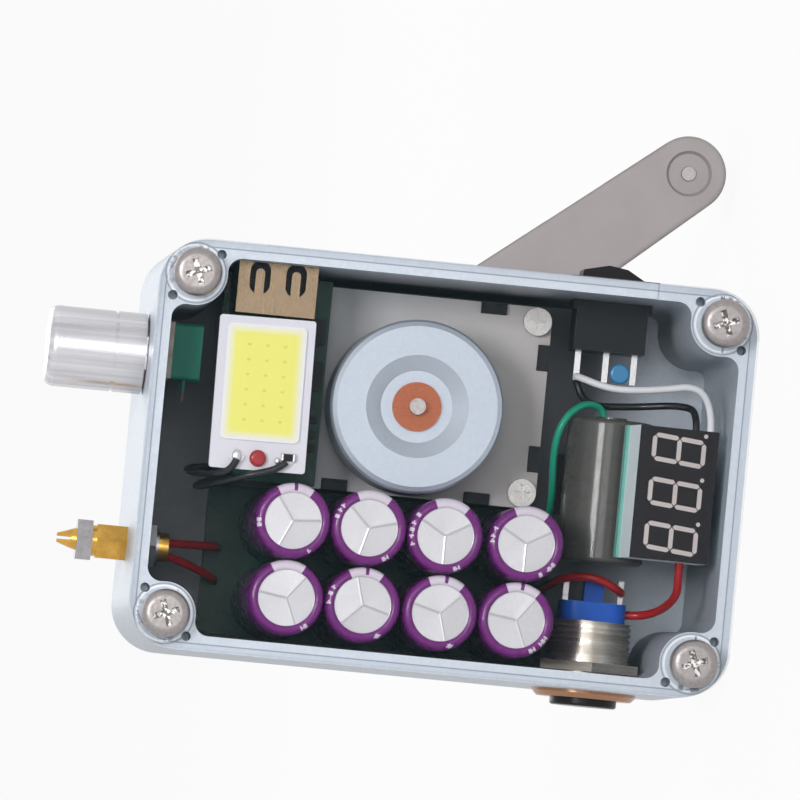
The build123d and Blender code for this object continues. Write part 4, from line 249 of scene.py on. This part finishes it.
# painted shade: the plate is painted darker and warmer towards one end
PLATE.tint(PLATE.ramp(PLATE.axis("Z"), 0.075, 0.03, 0.0, 0.6), (176, 164, 156))
HOUSING = plastic("gearbox_housing", (34, 34, 38), (24, 24, 28), 0.5)
BRONZE = metal("sintered_bronze", (168, 96, 66), (112, 60, 42), 0.45, 0.6, grain=3000)
KNOB = metal("turned_aluminium", (226, 226, 230), (138, 132, 140), 0.24, 0.85, (1, 1, 0.03), grain=620, height=0.000003)
NICKEL = metal("nickel", (176, 174, 176), (150, 146, 146), 0.22, 0.85, grain=900, height=0.000002)
DULL_STEEL = metal("dull_steel", (126, 118, 112), (104, 96, 90), 0.4, 0.6, grain=900, height=0.000002)
USB_NICKEL = metal("warm_nickel", (132, 113, 90), (114, 96, 76), 0.3, 0.7, (1, 1, 6), grain=1200, height=0.000002)
# painted shade: the shell is painted near black deeper than about 5.3 mm below the rim
USB_NICKEL.tint(USB_NICKEL.ramp(USB_NICKEL.axis("Y"), RIM_Y + 5.3 * MM, RIM_Y + 6.0 * MM, 0.0, 1.0), (20, 15, 11))
BRASS = metal("brass", (216, 170, 84), (176, 128, 52), 0.22, 0.85, grain=500, height=0.000002)
GEAR = plastic("gear_plastic", (225, 222, 210), (205, 202, 188), 0.5)
MAGNET = plastic("ferrite", (48, 48, 52), (36, 36, 40), 0.6)
COPPER = metal("copper", (184, 110, 66), (140, 76, 44), 0.35, 0.9, (1, 12, 1))
ARM = plastic("arm_plastic", (172, 164, 163), (160, 152, 151), 0.5)
# painted shade: the arm's sides are painted darker than its broad faces
ARM.tint(ARM.ramp(ARM.math("ABSOLUTE", ARM.facing(OPEN_SIDE)), 0.7, 0.1), (130, 116, 110))
BLACK = plastic("black_plastic", (26, 26, 29), (18, 18, 21), 0.42)
GREEN_BODY = plastic("dark_green_plastic", (18, 116, 96), (16, 102, 84), 0.4)
GREEN_BODY.tint(GREEN_BODY.math("LESS_THAN", GREEN_BODY.axis("X"), 9.1 * MM), (92, 82, 70))
WHITE = plastic("white_plastic", (222, 224, 228), (205, 208, 214), 0.45)
GREY = plastic("dark_grey_plastic", (58, 56, 58), (44, 42, 45), 0.5)
GREEN_BOARD = plastic("green_board", (18, 62, 48), (12, 44, 34), 0.3)
TEAL_BOARD = plastic("teal_board", (120, 184, 172), (96, 164, 152), 0.35)
WHITE_BOARD = plastic("white_board", (222, 220, 228), (212, 210, 220), 0.35)
RED_LENS = plastic("red_lens", (172, 24, 34), (120, 14, 22), 0.18, coat=0.6)
PURPLE = plastic("purple_sleeve", (112, 28, 116), (92, 20, 100), 0.26, coat=0.3)
INK_AND_PAINTED_HIGHLIGHT = plastic("white_ink_and_painted_highlight", (216, 206, 218), (200, 190, 204), 0.35)
CAP_TOP = metal("capacitor_aluminium", (190, 189, 193), (178, 177, 181), 0.34, 0.45, grain=2600)
BUTTON_STEEL = metal("button_steel", (190, 184, 174), (104, 96, 86), 0.28, 0.8, (1, 0.03, 0.03), grain=1500, height=0.000004)
BUTTON_STEEL.tint(BUTTON_STEEL.ramp(BUTTON_STEEL.axis("X"), -0.0338, -0.0342), (158, 118, 92))
BUTTON_CAP = plastic("button_cap", (40, 40, 44), (28, 28, 31), 0.3)
BLUE = plastic("blue_plastic", (34, 92, 190), (24, 70, 160), 0.35)
BEAD = plastic("bead_coating", (70, 146, 196), (48, 120, 176), 0.28, coat=0.4)
CELL = plastic("cell_sleeve", (78, 77, 73), (72, 71, 68), 0.3, coat=0.3)
WIRE_WHITE = plastic("wire_white", (226, 226, 230), (212, 212, 218), 0.4)
WIRE_BLACK = plastic("wire_black", (30, 30, 32), (20, 20, 22), 0.35, coat=0.3)
WIRE_GREEN = plastic("wire_green", (24, 150, 120), (18, 124, 98), 0.35, coat=0.3)
WIRE_RED = plastic("wire_red", (176, 28, 30), (140, 20, 22), 0.35, coat=0.3)
SOLDER = metal("solder", (206, 206, 208), (176, 176, 178), 0.22, 0.9, grain=1600, height=0.000003)
SEGMENT = plastic("segment_plastic", (204, 194, 192), (192, 180, 178), 0.35)

# the lamp's phosphor, which fades into its white frame
LAMP_ALONG = -30.95
LAMP_ACROSS = 9.5
LAMP_TURN = math.radians(0.9)
LAMP_FACE = 2.5
PHOSPHOR_OFFSET = 1.8
PHOSPHOR_LONG = 13.2
PHOSPHOR_WIDE = 19.3


def lamp_spot(along, across, depth):
    """A place on the lamp's board, which is turned a little in the box."""
    turned_along = along * math.cos(LAMP_TURN) - across * math.sin(LAMP_TURN)
    turned_across = along * math.sin(LAMP_TURN) + across * math.cos(LAMP_TURN)
    return spot(LAMP_ALONG + turned_along, LAMP_ACROSS + turned_across, depth)


PHOSPHOR = plastic("phosphor", (236, 236, 240), (230, 230, 236), 0.5)
middle = lamp_spot(0.0, PHOSPHOR_OFFSET, LAMP_FACE)


def inside(half, direction):
    """Distance from the near edge, in metres, across one direction of the phosphor."""
    made = PHOSPHOR.node("ShaderNodeVectorMath", operation="DOT_PRODUCT")
    PHOSPHOR.join(PHOSPHOR.place, made.inputs[0])
    made.inputs[1].default_value = direction
    off = PHOSPHOR.math("SUBTRACT", made.outputs["Value"], middle.dot(direction))
    return PHOSPHOR.math("SUBTRACT", half * MM, PHOSPHOR.math("ABSOLUTE", off))


LAMP_RIGHT = Vector((math.sin(LAMP_TURN), 0.0, -math.cos(LAMP_TURN)))
LAMP_UP = Vector((math.cos(LAMP_TURN), 0.0, math.sin(LAMP_TURN)))
near = PHOSPHOR.math("SMOOTH_MIN", inside(PHOSPHOR_LONG / 2, LAMP_RIGHT), inside(PHOSPHOR_WIDE / 2, LAMP_UP), 0.0012)
PHOSPHOR.tint(PHOSPHOR.ramp(near, 0.0001, 0.0016), (238, 234, 124))

# the display's case: a dark face and pale sides
DISPLAY_ALONG = 38.924
DISPLAY_ACROSS = -0.5
DISPLAY_DEPTH = 3.2
DISPLAY_TILT = math.radians(8.5)
DISPLAY_RIGHT = Vector((0.0, math.sin(DISPLAY_TILT), -math.cos(DISPLAY_TILT)))
DISPLAY_OUT = Vector((0.0, -math.cos(DISPLAY_TILT), -math.sin(DISPLAY_TILT)))
DISPLAY_UP = Vector((1.0, 0.0, 0.0))
DISPLAY = plastic("display_plastic", (240, 250, 252), (228, 242, 246), 0.4)
DISPLAY.tint(DISPLAY.ramp(DISPLAY.facing(DISPLAY_OUT), 0.85, 0.95), (38, 34, 37))


def display_spot(right, up, lift):
    """A place on the display's face, in mm from its middle."""
    flat = DISPLAY_RIGHT * right + DISPLAY_UP * up + DISPLAY_OUT * lift
    return spot(DISPLAY_ALONG, DISPLAY_ACROSS, DISPLAY_DEPTH) + flat * MM


DRESSED = {
    "enclosure_box": CAST, "front_cover": CLEAR, "cover_screws": HEAD,
    "gearbox_housing": HOUSING, "gearbox_plate": PLATE, "gearbox_screws": SMALL_HEAD,
    "gear_axles": SCREW_STEEL, "crank_gear": GEAR, "middle_gear": GEAR, "last_gear": GEAR,
    "rotor_shaft": SCREW_STEEL, "rotor_can": CAN, "rotor_bush": BRONZE, "magnet_ring": MAGNET,
    "stator_core": SCREW_STEEL, "stator_coils": COPPER, "stator_mount": BRASS,
    "crank_bush": BRONZE, "crank_arm": ARM, "crank_screw": SCREW_STEEL,
    "handle_pin": SCREW_STEEL, "handle_knob": BLACK, "pot_bracket": DULL_STEEL,
    "pot_body": GREEN_BODY, "pot_nut": NICKEL, "pot_shaft": KNOB, "control_knob": KNOB,
    "post_body": BRASS, "post_nut": NICKEL, "post_inner_nut": NICKEL, "post_collar": BRASS,
    "post_tag": NICKEL, "usb_shell": USB_NICKEL, "usb_tongues": BLACK,
    "charger_board": GREEN_BOARD, "charger_parts": BLACK, "cob_board": WHITE_BOARD,
    "cob_lamp": PHOSPHOR, "indicator_led": RED_LENS, "lamp_posts": WHITE,
    "capacitor_cans": CAP_TOP, "capacitor_sleeves": PURPLE, "capacitor_board": GREEN_BOARD,
    "rocker": BLACK, "rocker_body": BLACK, "rocker_terminals": SOLDER,
    "bead_capacitor": BEAD, "button_barrel": BUTTON_STEEL, "button_cap": BUTTON_CAP,
    "button_base": BLUE, "button_pins": NICKEL, "button_nut": BUTTON_STEEL,
    "display_case": DISPLAY, "display_board": TEAL_BOARD, "storage_cell": CELL,
    "inner_bracket": GREY, "white_wire": WIRE_WHITE, "green_wire": WIRE_GREEN,
    "black_wires": WIRE_BLACK, "red_wires": WIRE_RED,
}
for node_name, node_shader in DRESSED.items():
    dress(node_name, node_shader)

# ---- pieces of the scene's own ----


def mesh_piece(name, slot, mesh, *shaders, smooth=True):
    """A finished mesh as a piece on the box, in the given materials; its slot argument is not used."""
    data = bpy.data.meshes.new(name)
    bmesh.ops.recalc_face_normals(mesh, faces=mesh.faces)
    for face in mesh.faces:
        face.smooth = smooth
    mesh.to_mesh(data)
    mesh.free()
    for shader in shaders:
        data.materials.append(shader.material)
    piece = bpy.data.objects.new(name, data)
    bpy.context.scene.collection.objects.link(piece)
    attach(piece, "enclosure")
    return piece


def ring_points(mesh, centre, radius, depth, count):
    """A ring of points round a capacitor's axis, clockwise from the photograph's top."""
    made = []
    for step in range(count):
        turn = 2 * math.pi * step / count
        along = centre[0] + radius * math.sin(turn)
        across = centre[1] + radius * math.cos(turn)
        made.append(mesh.verts.new(spot(along, across, depth)))
    return made


# capacitors: sleeve with its pale stripe, and a top scored in three
CAP_END = 42.0
SLEEVE_STEPS = 120
SLEEVE_LINE = ((4.62, 2.75), (4.64, 2.42), (4.78, 2.16), (5.02, 2.02), (5.3, 2.0), (5.6, 2.05), (5.85, 2.19),
               (6.05, 2.42), (6.19, 2.75), (6.27, 3.2), (6.3, 3.8), (6.3, 9.0), (6.3, CAP_END), (5.6, CAP_END))
STRIPE = 29.0
DASH = 3.4
TOP_RADIUS = 4.68
TOP_DEPTH = 2.42
SCORE = 0.22
SCORE_DEPTH = -0.08
SECTOR_STEPS = 14
SECTOR_LEAN = 0.2
CAPACITORS = (
    # along, across, turn of the score, middle of the stripe, has a dash, places of its marks: painted highlight dashes
    # on the left of the sleeve's top curl (about 250° to 310°) and printed marks on its lower right
    (-23.95, -10.917, 205.0, 0.0, True, (258.0, 263.0, 268.0, 147.0)),
    (-11.25, -10.917, 195.0, 5.0, False, (285.0, 296.0, 307.0, 144.0, 150.0)),
    (1.5, -11.017, 180.0, 7.0, False, (252.0, 264.0, 276.0, 288.0, 304.0, 153.0, 159.0)),
    (15.0, -11.017, 180.0, 5.0, False, (270.0, 280.0, 290.0, 122.0, 128.0, 134.0, 150.0)),
    (-23.9, -23.717, 158.0, -2.0, False, (142.0, 148.0)),
    (-11.15, -23.717, 225.0, 2.0, True, (270.0, 284.0, 298.0, 146.0, 152.0)),
    (1.8, -23.817, 165.0, 6.0, True, (156.0, 162.0)),
    (14.5, -23.767, 158.0, 7.0, True, (118.0, 124.0, 130.0, 144.0, 150.0)),
)


def turned_from(angle, other):
    return abs((angle - other + 180.0) % 360.0 - 180.0)


def sleeve(name, centre, stripe, dashed, print_and_painted_highlight_marks):
    mesh = bmesh.new()
    rings = [ring_points(mesh, centre, radius, depth, SLEEVE_STEPS) for radius, depth in SLEEVE_LINE]
    for level, (inner, outer) in enumerate(zip(rings, rings[1:])):
        for step in range(SLEEVE_STEPS):
            after = (step + 1) % SLEEVE_STEPS
            face = mesh.faces.new((inner[step], inner[after], outer[after], outer[step]))
            angle = 360.0 * (step + 0.5) / SLEEVE_STEPS
            print_or_painted_highlight = turned_from(angle, stripe) < STRIPE
            if dashed and turned_from(angle, stripe) < DASH and 3 <= level <= 8:
                print_or_painted_highlight = False
            # marks on the top curl: painted highlight dashes on the left side, printed marks on the lower right
            if 4 <= level <= 6 and any(turned_from(angle, mark) < 3.2 for mark in print_and_painted_highlight_marks):
                print_or_painted_highlight = int(angle / 3) % 3 != 0 or level == 5
            face.material_index = 1 if print_or_painted_highlight else 0
    piece = mesh_piece(name, "purple_sleeve", mesh, PURPLE, INK_AND_PAINTED_HIGHLIGHT)
    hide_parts("capacitor_sleeves")


def scored_top(name, centre, turn, lean_seed):
    """Can end with three leaning sectors that meet at a score, and a fold under the sleeve."""
    mesh = bmesh.new()

    def point(radius, angle, depth):
        sine, cosine = math.sin(math.radians(angle)), math.cos(math.radians(angle))
        return mesh.verts.new(spot(centre[0] + radius * sine, centre[1] + radius * cosine, depth))

    for sector in range(3):
        start = turn + 120.0 * sector
        bisector = math.radians(start + 60.0)
        lean = SECTOR_LEAN * lean_seed.uniform(0.5, 1.3)
        edge = math.degrees(math.asin(SCORE / TOP_RADIUS))
        tip = point(2 * SCORE / math.sqrt(3), start + 60.0, TOP_DEPTH)
        arc = []
        for step in range(SECTOR_STEPS + 1):
            angle = start + edge + (120.0 - 2 * edge) * step / SECTOR_STEPS
            reach = math.cos(math.radians(angle) - bisector)
            arc.append(point(TOP_RADIUS, angle, TOP_DEPTH + lean * (reach - 0.5)))
        for one, two in zip(arc, arc[1:]):
            mesh.faces.new((tip, one, two))
        groove = [point(0.0, 0.0, TOP_DEPTH + SCORE_DEPTH), point(TOP_RADIUS, start, TOP_DEPTH + SCORE_DEPTH)]
        before = point(2 * SCORE / math.sqrt(3), start - 60.0, TOP_DEPTH)
        before_edge = point(TOP_RADIUS, start - edge, TOP_DEPTH)
        here = point(2 * SCORE / math.sqrt(3), start + 60.0, TOP_DEPTH)
        here_edge = point(TOP_RADIUS, start + edge, TOP_DEPTH)
        mesh.faces.new((groove[0], groove[1], here_edge, here))
        mesh.faces.new((groove[0], before, before_edge, groove[1]))
    rim = [ring_points(mesh, centre, radius, depth, 60) for radius, depth in
           ((TOP_RADIUS - 0.02, TOP_DEPTH - 0.12), (TOP_RADIUS + 0.1, TOP_DEPTH - 0.16), (5.0, TOP_DEPTH + 0.4),
            (5.95, 3.2), (5.95, CAP_END), (0.6, CAP_END))]
    for inner, outer in zip(rim, rim[1:]):
        for step in range(60):
            after = (step + 1) % 60
            mesh.faces.new((inner[step], inner[after], outer[after], outer[step]))
    piece = mesh_piece(name, "can_aluminium", mesh, CAP_TOP, smooth=False)
    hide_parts("capacitor_cans")


seeded = random.Random(7)
for number, (along, across, turn, stripe, dashed, print_and_painted_highlight_marks) in enumerate(CAPACITORS, 1):
    sleeve("capacitor_sleeve_%d" % number, (along, across), stripe, dashed, print_and_painted_highlight_marks)
    scored_top("capacitor_top_%d" % number, (along, across), turn, seeded)


# display: three digits of seven bars and their points, read from the box's left
def bar(mesh, place, start, end, width, lift):
    """A flat bar with pointed ends on a face, from its two end points in mm."""
    (x0, y0), (x1, y1) = start, end
    length = math.hypot(x1 - x0, y1 - y0)
    ahead = ((x1 - x0) / length, (y1 - y0) / length)
    side = (-ahead[1] * width / 2, ahead[0] * width / 2)
    reach = (ahead[0] * width / 2, ahead[1] * width / 2)
    outline = [(x0, y0), (x0 + reach[0] + side[0], y0 + reach[1] + side[1]),
               (x1 - reach[0] + side[0], y1 - reach[1] + side[1]), (x1, y1),
               (x1 - reach[0] - side[0], y1 - reach[1] - side[1]), (x0 + reach[0] - side[0], y0 + reach[1] - side[1])]
    low = [mesh.verts.new(place(x, y, 0.0)) for x, y in outline]
    high = [mesh.verts.new(place(x, y, lift)) for x, y in outline]
    mesh.faces.new(high)
    for index in range(6):
        after = (index + 1) % 6
        mesh.faces.new((low[index], low[after], high[after], high[index]))


DIGIT_COLUMNS = (-4.2, 0.05, 4.3)
DIGIT_FIRST = 9.7
DIGIT_TALL = 3.95
DIGIT_PITCH = 7.35
DIGIT_SLANT = 0.35
BAR_WIDTH = 0.76
BAR_GAP = 0.12
digits = bmesh.new()
for digit in range(3):
    top = DIGIT_FIRST - DIGIT_PITCH * digit
    corners = [[(DIGIT_COLUMNS[column], top - row * DIGIT_TALL - DIGIT_SLANT * column) for column in range(3)]
               for row in range(2)]
    for row in range(2):
        for column in range(2):
            start, end = corners[row][column], corners[row][column + 1]
            bar(digits, display_spot, (start[0] + BAR_GAP, start[1]), (end[0] - BAR_GAP, end[1]), BAR_WIDTH, 0.04)
    for column in range(3):
        start, end = corners[0][column], corners[1][column]
        bar(digits, display_spot, (start[0], start[1] - BAR_GAP), (end[0], end[1] + BAR_GAP), BAR_WIDTH, 0.04)
mesh_piece("display_digits", "display_plastic", digits, SEGMENT, smooth=False)
points = bmesh.new()
for digit in range(3):
    centre = (4.5, DIGIT_FIRST + 0.45 - DIGIT_PITCH * digit)
    ring = [(centre[0] + 0.36 * math.cos(turn * math.pi / 8), centre[1] + 0.36 * math.sin(turn * math.pi / 8))
            for turn in range(16)]
    high = [points.verts.new(display_spot(x, y, 0.04)) for x, y in ring]
    low = [points.verts.new(display_spot(x, y, 0.0)) for x, y in ring]
    points.faces.new(high)
    for index in range(16):
        after = (index + 1) % 16
        points.faces.new((low[index], low[after], high[after], high[index]))
mesh_piece("display_points", "display_plastic", points, SEGMENT, smooth=False)


# lamp board: chips under the phosphor, solder on its pads and a small part on the right pad
def dome(mesh, place, centre, radii, height, steps=20, rings=5):
    """A low rounded blob on a face."""
    last = None
    for ring in range(rings):
        tilt = math.pi / 2 * ring / rings
        row = [mesh.verts.new(place(centre[0] + radii[0] * math.cos(tilt) * math.cos(2 * math.pi * step / steps),
                                    centre[1] + radii[1] * math.cos(tilt) * math.sin(2 * math.pi * step / steps),
                                    height * math.sin(tilt))) for step in range(steps)]
        if last:
            for step in range(steps):
                after = (step + 1) % steps
                mesh.faces.new((last[step], last[after], row[after], row[step]))
        last = row
    mesh.faces.new(last)


def on_phosphor(right, up, lift):
    return lamp_spot(right, PHOSPHOR_OFFSET + up, LAMP_FACE - lift)


def on_board(right, up, lift):
    return lamp_spot(right, up, 3.0 - lift)


def on_pad(right, up, lift):
    return lamp_spot(right, up, LAMP_FACE - lift)


DIE = plastic("lamp_die", (226, 218, 108), (218, 208, 100), 0.4)
dice = bmesh.new()
for column in (-3.0, 0.0, 3.0):
    for row in range(6):
        dome(dice, on_phosphor, (column + 0.2, 6.25 - 2.5 * row), (0.32, 0.22), 0.05, steps=10, rings=3)
mesh_piece("lamp_dice", "phosphor", dice, DIE)
blobs = bmesh.new()
dome(blobs, on_pad, (-3.5, -10.6), (0.85, 1.1), 0.35)
dome(blobs, on_pad, (3.3, -10.9), (0.5, 0.6), 0.3)
mesh_piece("lamp_solder", "steel", blobs, SOLDER)


def block(mesh, place, centre, size, bottom, height, edge=0.12):
    """A small moulded part with sloped edges on a face."""
    rings = []
    for inset, lift in ((0.0, bottom), (0.0, bottom + height - edge), (edge, bottom + height)):
        half = (size[0] / 2 - inset, size[1] / 2 - inset)
        rings.append([mesh.verts.new(place(centre[0] + sx * half[0], centre[1] + sy * half[1], lift))
                      for sx, sy in ((-1, -1), (1, -1), (1, 1), (-1, 1))])
    for lower, upper in zip(rings, rings[1:]):
        for step in range(4):
            after = (step + 1) % 4
            mesh.faces.new((lower[step], lower[after], upper[after], upper[step]))
    mesh.faces.new(rings[-1])


part = bmesh.new()
block(part, on_pad, (5.0, -10.2), (1.5, 1.2), 0.0, 0.5)
mesh_piece("lamp_resistor", "black_plastic", part, BLACK, smooth=False)
ends = bmesh.new()
for shift in (-0.95, 0.95):
    block(ends, on_pad, (5.0 + shift, -10.2), (0.5, 1.3), 0.0, 0.52)
mesh_piece("lamp_resistor_ends", "steel", ends, SOLDER, smooth=False)


# ---- wires: one smooth line each through its route ----
def lead(name, places, radius, shader, node):
    curve = bpy.data.curves.new(name, "CURVE")
    curve.dimensions = "3D"
    curve.bevel_depth = radius * MM
    curve.bevel_resolution = 5
    curve.resolution_u = 12
    curve.use_fill_caps = True
    line = curve.splines.new("NURBS")
    line.points.add(len(places) - 1)
    for point, place in zip(line.points, places):
        point.co = (*spot(*place), 1.0)
    line.order_u = 3
    line.use_endpoint_u = True
    curve.materials.append(shader.material)
    piece = bpy.data.objects.new(name, curve)
    bpy.context.scene.collection.objects.link(piece)
    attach(piece, "enclosure")
    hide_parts(node)
    return piece


lead("wire_white", ((22.45, 18.3, 20.65), (22.45, 18.3, 19.0), (28.45, 16.4, 17.0), (35.92, 17.05, 14.0),
                    (42.32, 18.35, 11.0), (44.32, 13.8, 6.5), (44.32, 10.55, 6.5)),
     0.6, WIRE_WHITE, "white_wire")
lead("wire_black", ((22.45, 18.3, 21.35), (22.45, 18.3, 23.0), (24.45, 13.7, 22.0), (30.45, 13.7, 17.0),
                    (41.32, 15.1, 13.4), (42.12, 12.55, 8.6), (42.12, 10.55, 8.6)),
     0.6, WIRE_BLACK, "black_wires")
lead("wire_green", ((27.5, 11.9, 18.2), (27.2, 13.4, 18.2), (24.0, 13.9, 16.6), (20.6, 11.1, 15.0),
                    (19.3, 6.1, 16.0), (20.4, -2.5, 21.0), (20.7, -6.92, 30.0), (20.7, -6.92, 42.0)),
     0.6, WIRE_GREEN, "green_wire")
lead("wire_red_display", ((34.25, -20.75, 20.0), (38.25, -20.75, 20.0), (41.72, -17.55, 10.5),
                          (41.32, -13.55, 8.0), (41.32, -11.55, 8.0)),
     0.7, WIRE_RED, "red_wires")
lead("wire_red_button", ((33.4, -17.15, 21.55), (33.4, -17.15, 18.4), (28.6, -14.85, 16.8), (23.2, -15.35, 19.0),
                         (20.7, -17.39, 27.0), (20.7, -17.39, 42.0)),
     0.7, WIRE_RED, "red_wires")
lead("wire_red_terminal_1", ((-44.65, -17.8, 29.3), (-42.65, -17.8, 29.3), (-37.5, -19.4, 32.5),
                             (-33.4, -21.0, 36.0), (-33.4, -21.0, 42.0)),
     0.7, WIRE_RED, "red_wires")
lead("wire_red_terminal_2", ((-44.65, -15.8, 29.3), (-42.65, -15.8, 29.3), (-37.5, -15.6, 32.5),
                             (-33.4, -15.4, 36.0), (-33.4, -15.4, 42.0)),
     0.7, WIRE_RED, "red_wires")
lead("wire_lamp_1", ((-34.25, -1.6, 1.9), (-35.05, -3.9, 2.2), (-38.55, -4.5, 4.4), (-42.05, -4.2, 9.0),
                     (-40.95, -3.3, 15.4), (-36.65, -2.6, 18.6), (-36.65, -2.6, 20.6)),
     0.6, WIRE_BLACK, "black_wires")
lead("wire_lamp_2", ((-26.05, -1.4, 1.9), (-27.25, -2.7, 1.9), (-31.75, -4.0, 2.2), (-35.55, -5.3, 4.4),
                     (-39.55, -6.6, 8.0), (-40.15, -6.2, 13.6), (-33.95, -3.5, 18.6), (-33.95, -3.5, 20.6)),
     0.6, WIRE_BLACK, "black_wires")

# ---- floor, lights and camera ----
FLOOR = Shader("pale_floor", (248, 248, 247), 0.9)
FLOOR.tint(FLOOR.ramp(FLOOR.noise(6), 0.3, 0.7, 0.0, 0.3), (244, 244, 243))
floor_mesh = bmesh.new()
bmesh.ops.create_grid(floor_mesh, x_segments=2, y_segments=2, size=3.0)
floor_data = bpy.data.meshes.new("floor")
floor_mesh.to_mesh(floor_data)
floor_mesh.free()
floor = bpy.data.objects.new("floor", floor_data)
floor.data.materials.append(FLOOR.material)
bpy.context.scene.collection.objects.link(floor)


def seen(tree):
    """One where the camera, a gloss or clear plastic looks straight at a surface."""
    rays = tree.nodes.new("ShaderNodeLightPath")
    total = rays.outputs["Is Camera Ray"]
    for other in ("Is Glossy Ray", "Is Transmission Ray"):
        both = tree.nodes.new("ShaderNodeMath")
        both.operation = "MAXIMUM"
        tree.links.new(total, both.inputs[0])
        tree.links.new(rays.outputs[other], both.inputs[1])
        total = both.outputs[0]
    return total


SHADOW_KEPT = 0.07
floor_tree = FLOOR.tree
glow = floor_tree.nodes.new("ShaderNodeEmission")
glow.inputs["Color"].default_value = (1.0, 1.0, 1.0, 1.0)
share = floor_tree.nodes.new("ShaderNodeMath")
share.operation = "MULTIPLY"
share.inputs[1].default_value = 1.0 - SHADOW_KEPT
floor_tree.links.new(seen(floor_tree), share.inputs[0])
floor_mix = floor_tree.nodes.new("ShaderNodeMixShader")
floor_tree.links.new(share.outputs[0], floor_mix.inputs["Fac"])
floor_tree.links.new(FLOOR.shader.outputs[0], floor_mix.inputs[1])
floor_tree.links.new(glow.outputs[0], floor_mix.inputs[2])
floor_tree.links.new(floor_mix.outputs[0], floor_tree.nodes["Material Output"].inputs["Surface"])

world = bpy.data.worlds.new("studio")
bpy.context.scene.world = world
world.use_nodes = True
background = world.node_tree.nodes["Background"]
background.inputs["Color"].default_value = (0.92, 0.95, 1.0, 1.0)
background.inputs["Strength"].default_value = 0.3
white = world.node_tree.nodes.new("ShaderNodeBackground")
white.inputs["Color"].default_value = (1.0, 1.0, 1.0, 1.0)
mixer = world.node_tree.nodes.new("ShaderNodeMixShader")
world.node_tree.links.new(seen(world.node_tree), mixer.inputs["Fac"])
world.node_tree.links.new(background.outputs[0], mixer.inputs[1])
world.node_tree.links.new(white.outputs[0], mixer.inputs[2])
world.node_tree.links.new(mixer.outputs[0], world.node_tree.nodes["World Output"].inputs["Surface"])

CENTRE = Vector((0.0, 0.0, HALF_LENGTH))


def lamp(name, place, power, size):
    data = bpy.data.lights.new(name, "AREA")
    data.energy = power
    data.size = size
    made = bpy.data.objects.new(name, data)
    made.location = place
    made.rotation_mode = "QUATERNION"
    made.rotation_quaternion = (CENTRE - Vector(place)).to_track_quat("-Z", "Y")
    bpy.context.scene.collection.objects.link(made)


lamp("key", (0.12, -1.15, 0.7), 8.5, 0.35)
lamp("fill", (0.2, -1.5, 0.2), 3.5, 0.5)
lamp("back", (0.2, 0.8, 0.6), 2.0, 0.6)

# the photograph's camera, from the rim's corners and screws
CAMERA_PLACE = Vector((-0.079, -2.063, 0.231))
CAMERA_RIGHT = Vector((0.0936, -0.0880, -0.9917))
CAMERA_BACK = Vector((-0.0437, -0.9955, 0.0842))
CAMERA_LENS = 557.35
camera_data = bpy.data.cameras.new("camera")
camera_data.lens = CAMERA_LENS
camera_data.sensor_width = 36.0
camera_data.clip_start = 0.05
camera = bpy.data.objects.new("camera", camera_data)
back = CAMERA_BACK.normalized()
right = (CAMERA_RIGHT - back * CAMERA_RIGHT.dot(back)).normalized()
up = back.cross(right)
camera.matrix_world = Matrix.Translation(CAMERA_PLACE) @ Matrix((right, up, back)).transposed().to_4x4()
bpy.context.scene.collection.objects.link(camera)
bpy.context.scene.camera = camera
bpy.context.scene.view_settings.view_transform = "Standard"
